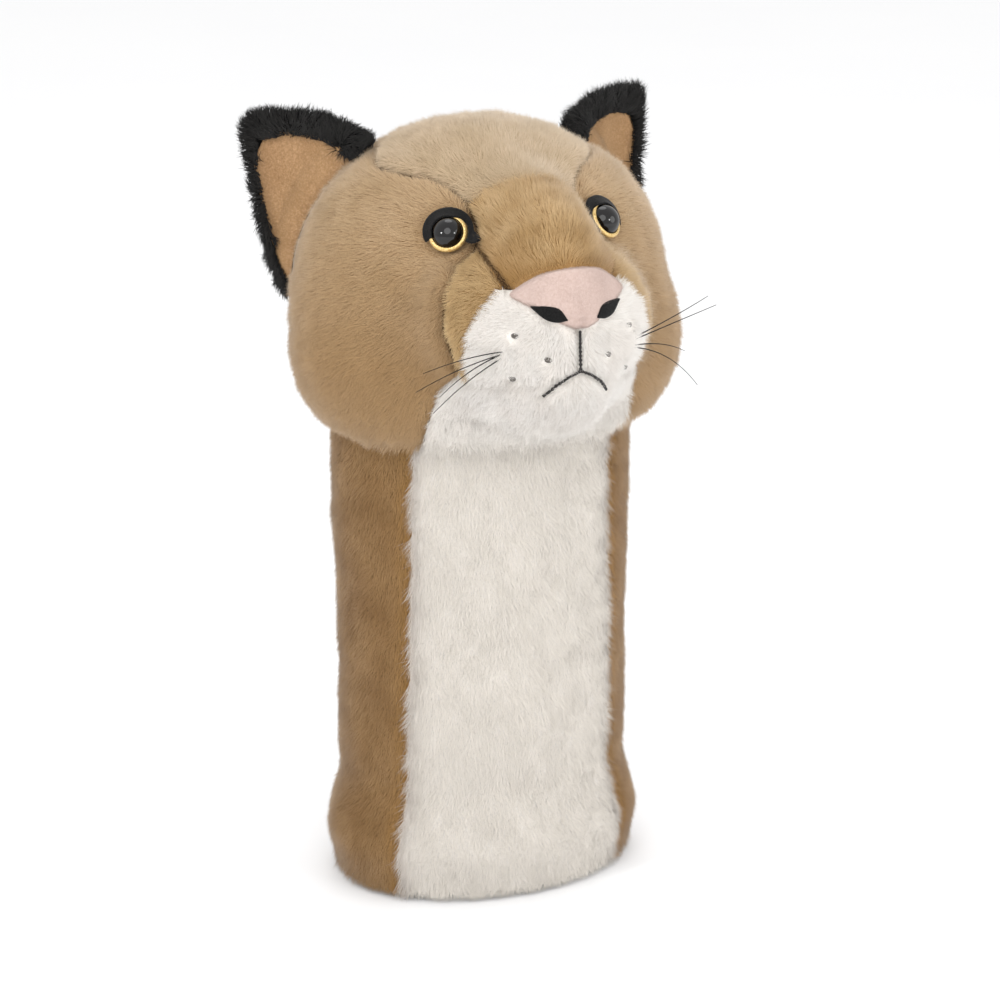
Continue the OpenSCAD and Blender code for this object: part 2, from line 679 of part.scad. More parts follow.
module ear_lining(side) {
    color(ear_tan) ear_sheet(side, 2 * lay_gap, 2 * lay_gap + ear_lining_t, [0.2, 0.9], [0.015, 0.84]);
}
module ear_lining_left() {
    ear_lining(1);
}
module ear_lining_right() {
    ear_lining(-1);
}

belly_panel();
side_panel_left();
side_panel_right();
back_panel();
sleeve_lining();
hem_band();
grip_elastic();
forehead_gusset();
nose_bridge();
cheek_left();
cheek_right();
head_back_left();
head_back_right();
muzzle_side_left();
muzzle_side_right();
muzzle_pad_left();
muzzle_pad_right();
chin();
throat();
nose_pad();
nostril_left();
nostril_right();
eye_left();
eye_right();
iris_left();
iris_right();
eye_washer_left();
eye_washer_right();
eyelid_left();
eyelid_right();
mouth_stitch();
whisker_dots_left();
whisker_dots_right();
whiskers_left();
whiskers_right();
head_stuffing();
pocket_lining();
ear_back_left();
ear_back_right();
ear_lining_left();
ear_lining_right();
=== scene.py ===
# A plush driver head cover shaped as a mountain lion's head on a lined sleeve.
# Every fabric is a sewn skin with its pile standing on it as real strands.
import bpy
import numpy as np
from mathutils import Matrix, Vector


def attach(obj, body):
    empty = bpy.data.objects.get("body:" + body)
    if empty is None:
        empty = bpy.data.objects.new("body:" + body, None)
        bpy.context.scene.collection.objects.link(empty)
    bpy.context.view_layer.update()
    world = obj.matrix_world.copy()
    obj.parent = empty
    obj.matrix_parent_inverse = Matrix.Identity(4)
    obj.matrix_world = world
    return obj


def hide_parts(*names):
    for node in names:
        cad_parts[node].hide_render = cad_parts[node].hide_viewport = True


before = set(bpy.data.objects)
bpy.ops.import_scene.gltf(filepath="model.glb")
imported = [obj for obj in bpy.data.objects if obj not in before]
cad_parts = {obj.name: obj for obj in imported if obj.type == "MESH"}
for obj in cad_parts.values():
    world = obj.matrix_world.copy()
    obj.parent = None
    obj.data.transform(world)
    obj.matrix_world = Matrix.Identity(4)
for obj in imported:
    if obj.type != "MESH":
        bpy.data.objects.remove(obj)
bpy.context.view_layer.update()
MM = 0.001

# -------- sizes, in mm, as in the CAD model
HALF_W, HALF_D, SLEEVE_LEN = 73.0, 54.0, 220.0
BELLY_W_HEM, BELLY_W_NECK = 111, 100
HEAD_RISE = 65      # from the line the head nods about up to its centre
PLUSH = 3.5
NOD = np.array([0.0, 0.0, SLEEVE_LEN])
CENTRE = np.array([0.0, 0.0, SLEEVE_LEN + HEAD_RISE])
CROWN_H, CHEEK_H, MUZZLE_W, MUZZLE_REACH, MUZZLE_H, BRIDGE_W, CHIN_W = 74, 59, 104, 61, 38, 54, 56
NECK_HALF = np.array([HALF_W + 1.5, HALF_D + 2.4, HALF_D + 2.4])
LOBES = [((0, 3, 5), (HALF_W + 15, HALF_D + 18, CROWN_H)),
         ((0, -8, -29), (HALF_W + 17, HALF_D + 16, CHEEK_H)),
         ((0, -(HALF_D + MUZZLE_REACH - 52), -1), (MUZZLE_W / 2, 52, MUZZLE_H)),
         ((0, -(HALF_D + MUZZLE_REACH - 73), 24), (BRIDGE_W / 2, 65, MUZZLE_H + 1)),
         ((0, -(HALF_D + MUZZLE_REACH - 59), -24), (CHIN_W / 2, 55, MUZZLE_H - 9))]
LOBES = [(np.array(c, float), np.array(h, float)) for c, h in LOBES]
SKIN_DEEP = 2.1     # how far the woven skin lies below the fabric's outer face in the CAD model
SIDES = ((1, "left"), (-1, "right"))


# -------- small maths
def unit(v):
    return v / np.maximum(np.linalg.norm(v, axis=-1, keepdims=True), 1e-12)


def mix(a, b, t):
    return a + (b - a) * t


def mirrored(p, side):
    """The same places on the left (side 1) or the right (side -1)."""
    return p * np.array([side, 1, 1])


def smooth(x, low, high):
    t = np.clip((x - low) / (high - low), 0, 1)
    return t * t * (3 - 2 * t)


def heading(psi, theta):
    p, t = np.radians(psi), np.radians(theta)
    return np.stack([np.sin(t) * np.sin(p), -np.sin(t) * np.cos(p), np.cos(t) + 0 * p], -1)


def rows(points):
    return np.array(points, float)


def along(table, v):
    """psi and theta on a polyline whose rows are (place, psi, theta)."""
    return np.interp(v, table[:, 0], table[:, 1]), np.interp(v, table[:, 0], table[:, 2])


def evenly(points):
    points = rows(points)
    return np.column_stack([np.linspace(0, 1, len(points)), points])


def curved(table, v):
    """psi and theta on a smooth curve through evenly placed rows."""
    x = np.clip(v, 0, 1) * (len(table) - 1)
    i = np.minimum(np.floor(x).astype(int), len(table) - 2)
    f = x - i
    values = table[:, 1:]
    ends = np.concatenate([[2 * values[0] - values[1]], values, [2 * values[-1] - values[-2]]])
    a, b, c, d = (ends[i + k] for k in range(4))
    f = f[..., None]
    out = b + 0.5 * f * (c - a + f * (2 * a - 5 * b + 4 * c - d + f * (3 * (b - c) + d - a)))
    return out[..., 0], out[..., 1]


def lattice(i, j, k, seed):
    h = (i * 73856093) ^ (j * 19349663) ^ (k * 83492791) ^ (seed * 2654435)
    h = (h ^ (h >> 13)) * 1274126177 & 0x7FFFFFFF
    h = (h ^ (h >> 16)) * 668265263 & 0x7FFFFFFF
    return (h & 0xFFFF) / 32767.5 - 1


def noise(p, size, seed):
    """Smooth value noise from -1 to 1 with features about `size` mm across."""
    q = np.asarray(p) / size + 1000.0
    base = np.floor(q).astype(np.int64)
    f = q - base
    f = f * f * (3 - 2 * f)
    total = 0
    for dx in (0, 1):
        for dy in (0, 1):
            for dz in (0, 1):
                weight = ((f[..., 0] if dx else 1 - f[..., 0])
                          * (f[..., 1] if dy else 1 - f[..., 1])
                          * (f[..., 2] if dz else 1 - f[..., 2]))
                corner = base + np.array([dx, dy, dz])
                total = total + weight * lattice(corner[..., 0], corner[..., 1], corner[..., 2], seed)
    return total


def noise3(p, size, seed):
    return np.stack([noise(p, size, seed + k) for k in (0, 31, 62)], -1)


def nearest(p, marks):
    """Distance from each point to the nearest mark, and which mark that is."""
    flat = p.reshape(-1, 3)
    far, which = np.empty(len(flat)), np.empty(len(flat), int)
    for at in range(0, len(flat), 20000):
        part = flat[at:at + 20000]
        gap = ((part * part).sum(1)[:, None] + (marks * marks).sum(1)[None] - 2 * part @ marks.T)
        which[at:at + 20000] = gap.argmin(1)
        far[at:at + 20000] = np.sqrt(np.maximum(gap.min(1), 0))
    return far.reshape(p.shape[:-1]), which.reshape(p.shape[:-1])


# -------- the head's surface
def head_reach(d):
    total = 0
    for c0, half in LOBES:
        u, w = d / half, c0 / half
        a, b, c = (u * u).sum(-1), (u * w).sum(-1), (w * w).sum() - 1
        total = total + ((b + np.sqrt(np.maximum(b * b - a * c, 0))) / a / 100) ** 10
    return 100 * total ** 0.1


def on_head(d, h=0.0):
    return CENTRE + (head_reach(d) + h)[..., None] * d


def at_head(psi, theta, h=0.0):
    return on_head(heading(np.asarray(psi, float), np.asarray(theta, float)), h)


def head_normal(psi, theta):
    down = at_head(psi, theta + 1) - at_head(psi, theta - 1)
    across = at_head(psi + 1, theta) - at_head(psi - 1, theta)
    return unit(np.cross(down, across))


FRONT_LIFT = 7.0     # how much higher the head's lower edge lies at the throat


def rim_level(psi):
    return NOD[2] + 1 + FRONT_LIFT * np.maximum(np.cos(np.radians(psi)), 0) ** 2


def rim(psi):
    psi = np.asarray(psi, float)
    low, high = np.full(psi.shape, 100.0), np.full(psi.shape, 160.0)
    for _ in range(14):
        mid = (low + high) / 2
        p = at_head(psi, mid, -PLUSH)
        clear = (np.linalg.norm((p - NOD) / NECK_HALF, axis=-1) > 1) & (p[..., 2] > rim_level(psi))
        low, high = np.where(clear, mid, low), np.where(clear, high, mid)
    return low


NECK_CORNER = 44
RIM_CORNER = float(rim(NECK_CORNER))
BROW = evenly([(104, 36), (83, 41), (66, 40), (50, 39), (36, 42.5), (27, 48)])
BRIDGE_SIDE = evenly([(27, 48), (22.5, 57), (21.8, 65), (17.7, 73), (14.6, 78.6)])
CHEEK_FRONT = rows([(0, 104, 36), (0.06, 83, 41), (0.12, 66, 40), (0.19, 50, 39), (0.26, 36, 42.5),
                    (0.33, 27, 48), (0.41, 22.5, 57), (0.48, 23, 65), (0.53, 28.5, 71), (0.62, 32, 81),
                    (0.7, 32, 90), (0.8, 27.5, 102), (0.88, 34, 110), (1, NECK_CORNER, RIM_CORNER)])
EAR_LINE = 107
CHEEK_BACK = rows([(0, EAR_LINE, 37), (1, EAR_LINE, float(rim(EAR_LINE)))])
STRIP_IN = rows([(0, 22, 65.5), (0.25, 16.5, 78), (0.5, 22, 84.5), (0.7, 25, 90.6), (0.88, 25.4, 97),
                 (1, 24.6, 104)])
STRIP_OUT = rows([(0, 23.4, 65.6), (0.12, 28.5, 71), (0.4, 32, 81), (0.7, 32, 90), (1, 27.5, 102)])
WHITE_EDGE = rows([(0, 16.5, 78.4), (0.3, 22, 84.5), (0.6, 25, 90.6), (0.85, 25.4, 97), (1, 24.6, 104)])
NOSE_EDGE = evenly([(1.5, 74.3), (7.5, 75.2), (12, 77.4), (14.6, 79.6), (12, 81.4), (8, 83.4), (4, 86),
                    (1, 87.2)])
NOSE_OUT, NOSE_HIGH = 118, 27       # the nose pad's distance from the head's centre, and its height
LIP = evenly([(0, 96.4), (2.5, 97.6), (5, 99.6), (7.2, 102.4)])
MOUTH_AT, THROAT_TOP = 97, 118
EYE_AT = (34, 60.5)
EYE_D, EYE_DOME_H, IRIS_W, SEAT = 18.0, 6.0, 1.7, 2.2


def cheek_edge(theta):
    return np.interp(theta, [110, RIM_CORNER], [34, NECK_CORNER])


def seam_marks():
    """Each seam or groove pulls the skin in: places, depth and half width in mm."""
    marks, depth, width = [], [], []

    def add(psi, theta, deep, wide, both=True):
        psi, theta = np.atleast_1d(psi), np.atleast_1d(theta)
        for side in ((-1, 1) if both else (1,)):
            marks.append(at_head(side * psi, theta))
            depth.append(np.full(len(psi), deep))
            width.append(np.full(len(psi), wide))

    def add_across(psi, theta, count, deep, wide):
        ends = heading(np.array([-psi, psi]), np.array([theta, theta]))
        marks.append(on_head(unit(mix(ends[0], ends[1], np.linspace(0, 1, count)[:, None]))))
        depth.append(np.full(count, deep))
        width.append(np.full(count, wide))

    v = np.linspace(0, 1, 90)
    add(*along(BROW, v), 3.6, 3.6)
    add(*along(BRIDGE_SIDE, v), 4.0, 3.4)
    fold = np.linspace(0.47, 0.8, 60)
    add(*along(CHEEK_FRONT, fold), 5.5, 4.2)
    add(*along(CHEEK_FRONT, np.linspace(0.8, 1, 40)), 2.6, 3.2)
    add(*along(WHITE_EDGE, v), 1.6, 3.0)
    add(*along(CHEEK_BACK, v), 1.8, 3.5)
    add(np.linspace(-24, 24, 60), mix(97.4, 104, np.abs(np.linspace(-1, 1, 60))), 1.6, 3.0, False)
    add(*along(LIP, v), 2.4, 2.4)
    add(np.zeros(40), np.linspace(86, 97, 40), 3.0, 2.6, False)
    add(np.full(50, 180.0), np.linspace(40, float(rim(180)), 50), 1.4, 3.2, False)
    add(np.linspace(-34, 34, 60), np.full(60, 118.0), 1.4, 3.5, False)
    add_across(27.0, 48.0, 30, 3.0, 3.0)
    add_across(104.0, 36.0, 60, 1.6, 3.2)
    return np.concatenate(marks), np.concatenate(depth), np.concatenate(width)


SEAMS = seam_marks()
# Soft swellings and hollows: psi, theta, height, half width in mm
PUFFS = [(13, 91.5, 2.2, 11), (-13, 91.5, 2.2, 11), (0, 108, 1.4, 12), (62, 100, 1.5, 26),
         (-62, 100, 1.5, 26), (36, 47, 1.6, 9), (-36, 47, 1.6, 9), (34, 60.5, -2.0, 9), (-34, 60.5, -2.0, 9),
         (0, 64, 2.6, 13), (0, 30, -0.8, 24)]


def relief(p):
    """How far the sewn skin stands off the smooth head at each place."""
    marks, depth, width = SEAMS
    far, which = nearest(p, marks)
    out = -depth[which] * np.exp(-(far / width[which]) ** 2)
    for psi, theta, high, wide in PUFFS:
        out = out + high * np.exp(-(np.linalg.norm(p - at_head(psi, theta), axis=-1) / wide) ** 2)
    psi = np.degrees(np.arctan2(p[..., 0], -p[..., 1]))
    out = out - 2.4 * np.exp(-((p[..., 2] - rim_level(psi)) / 4) ** 2)
    return out + 0.8 * noise(p, 24, 5) + 0.4 * noise(p, 10, 9)


# -------- meshes
def build_mesh(name, points, faces, attributes=None, normals=None, uv=None):
    """A mesh from an (n, 3) array in mm and an (m, 3 or 4) array of corners."""
    mesh = bpy.data.meshes.new(name)
    points = np.asarray(points, np.float32)
    faces = np.asarray(faces, np.int32)
    sides = faces.shape[1]
    mesh.vertices.add(len(points))
    mesh.vertices.foreach_set("co", (points * MM).ravel())
    mesh.loops.add(faces.size)
    mesh.loops.foreach_set("vertex_index", faces.ravel())
    mesh.polygons.add(len(faces))
    mesh.polygons.foreach_set("loop_start", np.arange(len(faces), dtype=np.int32) * sides)
    mesh.update(calc_edges=True)
    mesh.polygons.foreach_set("use_smooth", np.ones(len(faces), bool))
    for key, values in (attributes or {}).items():
        layer = mesh.attributes.new(key, "FLOAT", "POINT")
        layer.data.foreach_set("value", np.asarray(values, np.float32).ravel())
    if uv is not None:
        layer = mesh.uv_layers.new(name="OFBake")
        layer.data.foreach_set("uv", np.asarray(uv, np.float32).ravel())
    if normals is not None:
        mesh.normals_split_custom_set_from_vertices(np.asarray(normals, np.float32))
    item = bpy.data.objects.new(name, mesh)
    bpy.context.scene.collection.objects.link(item)
    return item


def grid_faces(n_rows, n_cols, wrap=False):
    i, j = np.meshgrid(np.arange(n_rows - 1), np.arange(n_cols if wrap else n_cols - 1), indexing="ij")
    a = i * n_cols + j
    b = i * n_cols + (j + 1) % n_cols
    return np.stack([a, b, b + n_cols, a + n_cols], -1).reshape(-1, 4)


def closed_grid(outer, inner, wrap=False):
    """A closed shell between two grids of one shape, seen from outside with rows going down."""
    n_rows, n_cols = outer.shape[:2]
    skin = grid_faces(n_rows, n_cols, wrap)
    size = n_rows * n_cols
    faces = [skin, skin[:, ::-1] + size]

    def wall(edge):
        a, b = edge[:-1], edge[1:]
        faces.append(np.stack([a, a + size, b + size, b], -1))

    index = np.arange(size).reshape(n_rows, n_cols)
    top, bottom = index[0], index[-1]
    if wrap:
        top, bottom = np.append(top, top[0]), np.append(bottom, bottom[0])
    wall(top)
    wall(bottom[::-1])
    if not wrap:
        wall(index[:, -1])
        wall(index[::-1, 0])
    points = np.concatenate([outer.reshape(-1, 3), inner.reshape(-1, 3)])
    return points, np.concatenate(faces)[:, ::-1]


def grid_normals(grid):
    return unit(np.cross(np.gradient(grid, axis=0), np.gradient(grid, axis=1)))


# -------- materials
def srgb(r, g, b):
    c = np.array([r, g, b]) / 255
    return tuple(np.where(c <= 0.04045, c / 12.92, ((c + 0.055) / 1.055) ** 2.4)) + (1.0,)


class Look:
    """A node material with small helpers for wiring it."""

    def __init__(self, name, rough=0.8, sheen=0.0, specular=0.3):
        self.material = bpy.data.materials.new(name)
        self.material.use_nodes = True
        self.nodes = self.material.node_tree.nodes
        self.links = self.material.node_tree.links
        self.shader = self.nodes["Principled BSDF"]
        self.shader.inputs["Roughness"].default_value = rough
        self.shader.inputs["Sheen Weight"].default_value = sheen
        self.shader.inputs["Sheen Roughness"].default_value = 0.5
        self.shader.inputs["Specular IOR Level"].default_value = specular
        self.place = self.nodes.new("ShaderNodeTexCoord").outputs["Object"]

    def wire(self, source, target):
        self.links.new(source, target)

    def attribute(self, name):
        node = self.nodes.new("ShaderNodeAttribute")
        node.attribute_name = name
        return node.outputs["Fac"]

    def noise(self, scale, detail=2.0, rough=0.5, stretch=None):
        place = self.place
        if stretch is not None:
            mapping = self.nodes.new("ShaderNodeMapping")
            mapping.inputs["Scale"].default_value = stretch
            self.wire(place, mapping.inputs["Vector"])
            place = mapping.outputs["Vector"]
        node = self.nodes.new("ShaderNodeTexNoise")
        node.inputs["Scale"].default_value = scale
        node.inputs["Detail"].default_value = detail
        node.inputs["Roughness"].default_value = rough
        self.wire(place, node.inputs["Vector"])
        return node.outputs["Fac"]

    def spread(self, value, from_low, from_high, to_low, to_high):
        node = self.nodes.new("ShaderNodeMapRange")
        self.wire(value, node.inputs["Value"])
        limits = {"From Min": from_low, "From Max": from_high, "To Min": to_low, "To Max": to_high}
        for key, number in limits.items():
            node.inputs[key].default_value = number
        return node.outputs["Result"]

    def mix(self, share, a, b):
        node = self.nodes.new("ShaderNodeMix")
        node.data_type = "RGBA"
        self.wire(share, node.inputs[0])
        for slot, colour in ((node.inputs[6], a), (node.inputs[7], b)):
            if isinstance(colour, tuple):
                slot.default_value = colour
            else:
                self.wire(colour, slot)
        return node.outputs[2]

    def scale(self, colour, value):
        node = self.nodes.new("ShaderNodeVectorMath")
        node.operation = "SCALE"
        self.wire(colour, node.inputs[0])
        self.wire(value, node.inputs["Scale"])
        return node.outputs[0]

    def height(self, low, high):
        node = self.nodes.new("ShaderNodeSeparateXYZ")
        self.wire(self.place, node.inputs[0])
        return self.spread(node.outputs["Z"], low, high, 0, 1)

    def colour(self, source):
        self.wire(source, self.shader.inputs["Base Color"])
        return self

    def bump(self, source, strength, distance):
        node = self.nodes.new("ShaderNodeBump")
        node.inputs["Strength"].default_value = strength
        node.inputs["Distance"].default_value = distance
        self.wire(source, node.inputs["Height"])
        self.wire(node.outputs["Normal"], self.shader.inputs["Normal"])
        return self


def pile_look(name, root, tip, patch, sheen=0.3, rough=0.85, seam_light_and_shade=None, low=None, shade=(0.93, 1.06)):
    """Pile: darker at the root, with patches of another colour, and each strand a little different."""
    look = Look(name, rough, sheen, 0.15)
    base = look.mix(look.spread(look.noise(45, 2), 0.35, 0.65, 0, 1), tip, patch)
    if low is not None:
        colour, z_low, z_high = low
        base = look.mix(look.height(z_low, z_high), colour, base)
    # Along seams, by the 'edge' attribute, the colour turns to the seam colour: a painted crease shade on the
    # head and along the belly's seams, and on the tan side panels a lighter gold that is partly a painted
    # highlight and partly brushed pile.
    if seam_light_and_shade is not None:
        base = look.mix(look.attribute("edge"), base, seam_light_and_shade)
    base = look.mix(look.spread(look.attribute("tip"), 0, 0.75, 0, 1), root, base)
    base = look.scale(base, look.spread(look.attribute("tint"), 0, 1, *shade))
    look.colour(base)
    return look.material


def weave_look(name, dark, light, sheen=0.1, rough=0.9, scale=900, stretch=None, bump=0.3, crease_shade_colour=None):
    look = Look(name, rough, sheen, 0.2)
    fine = look.noise(scale, 3, 0.6, stretch)
    colour = look.mix(look.spread(fine, 0.35, 0.65, 0, 1), dark, light)
    # Along deep seams the weave turns to a painted crease shade.
    if crease_shade_colour is not None:
        colour = look.mix(look.spread(look.attribute("edge"), 0, 0.6, 0, 1), colour, crease_shade_colour)
    look.colour(colour).bump(fine, bump, 0.0006)
    return look.material


# Painted shade for the bottoms of the head's deep seams and folds.
PAINTED_CREASE_SHADE = srgb(82, 56, 28)
# Along the belly seam the tan side pile turns a lighter gold: partly a painted highlight on the leaning pile,
# partly pile brushed lighter.
TAN_SIDE = pile_look("tan_side_pile", srgb(140, 106, 66), srgb(168, 133, 90), srgb(148, 113, 72),
                     seam_light_and_shade=srgb(170, 128, 72))
TAN_FACE = pile_look("tan_face_pile", srgb(174, 142, 104), srgb(208, 179, 142), srgb(194, 165, 126),
                     low=(srgb(174, 140, 97), 0.262, 0.335), seam_light_and_shade=PAINTED_CREASE_SHADE)
TAN_CROWN = pile_look("tan_crown_pile", srgb(190, 165, 133), srgb(216, 192, 160), srgb(204, 180, 146),
                      seam_light_and_shade=PAINTED_CREASE_SHADE)
TAN_BRIDGE = pile_look("tan_bridge_pile", srgb(170, 134, 86), srgb(214, 182, 136), srgb(190, 155, 106),
                       low=(srgb(152, 106, 42), 0.304, 0.326), seam_light_and_shade=PAINTED_CREASE_SHADE)
TAN_STRIP = pile_look("tan_strip_pile", srgb(174, 140, 94), srgb(208, 176, 128), srgb(192, 160, 112),
                      seam_light_and_shade=PAINTED_CREASE_SHADE)
# Along seams the cream pile turns grey-beige: painted shade in the head's creases and along the belly's
# seams.
CREAM = pile_look("cream_pile", srgb(240, 233, 225), srgb(252, 248, 242), srgb(247, 241, 234), sheen=0.2,
                  shade=(0.95, 1.02), low=(srgb(240, 233, 222), 0.215, 0.25), seam_light_and_shade=srgb(204, 194, 184))
BLACK = pile_look("black_pile", srgb(10, 10, 10), srgb(44, 43, 42), srgb(34, 33, 32), sheen=0.1,
                  shade=(0.7, 1.3))
EAR_PILE = pile_look("ear_velour", srgb(146, 112, 74), srgb(188, 150, 106), srgb(178, 140, 96), sheen=0.2)
PINK_PILE = pile_look("pink_felt", srgb(190, 166, 156), srgb(208, 186, 177), srgb(203, 180, 171), sheen=0.0,
                      shade=(0.97, 1.02))


def skin_look(pile_material, dark, light):
    """The woven skin under a pile. It is darker along the deep seams of the tan fabrics, a painted crease
    shade.
    """
    crease_shade_colour = srgb(60, 41, 20) if pile_material.name.startswith("tan") else None
    return weave_look(pile_material.name + "_skin", dark, light, crease_shade_colour=crease_shade_colour)


# The skins of the tan, cream and black piles are darker than their pile: painted shade between the strands.
SKINS = {pile_material.name: skin_look(pile_material, dark, light) for pile_material, dark, light in (
    (TAN_SIDE, srgb(102, 76, 46), srgb(134, 104, 68)),
    (TAN_FACE, srgb(136, 108, 76), srgb(168, 140, 104)),
    (TAN_CROWN, srgb(156, 132, 102), srgb(186, 162, 130)),
    (TAN_BRIDGE, srgb(128, 96, 56), srgb(158, 124, 80)),
    (TAN_STRIP, srgb(118, 88, 50), srgb(156, 124, 82)),
    (CREAM, srgb(220, 214, 206), srgb(240, 235, 229)),
    (BLACK, srgb(8, 8, 8), srgb(22, 22, 22)),
    (EAR_PILE, srgb(160, 126, 92), srgb(190, 154, 116)),
    (PINK_PILE, srgb(196, 174, 164), srgb(206, 186, 178)))}
FELT = weave_look("black_felt", srgb(6, 6, 6), srgb(24, 23, 23), 0.08, 0.95, 1400)
THREAD = weave_look("black_thread", srgb(16, 14, 14), srgb(46, 42, 40), 0.2, 0.6, 2600)
DOT_THREAD = weave_look("dot_thread", srgb(66, 62, 58), srgb(110, 104, 98), 0.1, 0.8, 2600)
NYLON = weave_look("whisker_nylon", srgb(14, 13, 12), srgb(40, 36, 32), 0.0, 0.35, 500, bump=0.05)
SATIN = weave_look("satin", srgb(44, 40, 36), srgb(66, 60, 54), 0.1, 0.38, 700, (1, 1, 0.1), 0.15)
ELASTIC = weave_look("elastic", srgb(26, 26, 26), srgb(54, 53, 52), 0.1, 0.75, 900, (1, 1, 6), 0.4)
WADDING = weave_look("polyester_fill", srgb(214, 213, 208), srgb(244, 243, 240), 0.4, 0.95, 320, None, 0.6)
WASHER = weave_look("washer_plastic", srgb(206, 204, 198), srgb(222, 220, 214), 0.0, 0.45, 300, None, 0.05)


def eye_black_look():
    look = Look("eye_black", 0.06, 0.0, 0.5)
    look.colour(look.mix(look.noise(220, 2), srgb(2, 2, 3), srgb(10, 7, 6)))
    return look.material


def iris_look():
    look = Look("iris_gold", 0.28, 0.0, 0.5)
    fine = look.noise(1500, 3, 0.7)
    look.colour(look.mix(look.spread(fine, 0.3, 0.7, 0, 1), srgb(176, 132, 58), srgb(246, 220, 156)))
    look.shader.inputs["Metallic"].default_value = 0.55
    look.bump(fine, 0.2, 0.0003)
    return look.material


EYE_BLACK, IRIS_GOLD = eye_black_look(), iris_look()


def finish_piece(item, body, material, slot, *nodes):
    item.data.materials.append(material)
    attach(item, body)
    if nodes:
        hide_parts(*nodes)
    return item


def solid(name, points, faces, body, material, slot):
    """A piece that replaces the CAD node of the same name."""
    return finish_piece(build_mesh(name, points, faces), body, material, slot, name)


def shell(name, outer, inner, body, material, slot, wrap=False):
    return solid(name, *closed_grid(outer, inner, wrap), body, material, slot)


# -------- pile
# Places where the pile is short: points, the distances where it is shortest and full, and the least share
DEEP = SEAMS[1] >= 2.9
FOLD = SEAMS[1] >= 3.9
BARE = [(SEAMS[0][~DEEP], 0.2, 2.4, 0.6), (SEAMS[0][DEEP & ~FOLD], 0.3, 3.4, 0.2),
        (SEAMS[0][FOLD], 0.4, 3.8, 0.08)]


def unsunk(p):
    """The same places on the smooth head, where the marks are."""
    return on_head(unit(p - CENTRE))


def crease_shade_mask(p):
    """1 in the bottom of a deep seam and 0 away from all seams: the mask of the painted crease shade."""
    far, which = nearest(unsunk(p), SEAMS[0])
    return np.clip(SEAMS[1][which] / 3.8, 0, 1.1) ** 2 * np.exp(-(far / 1.5) ** 2)


MOST_FACES = 190000     # in one object
THIRD_TURN = 2.0944


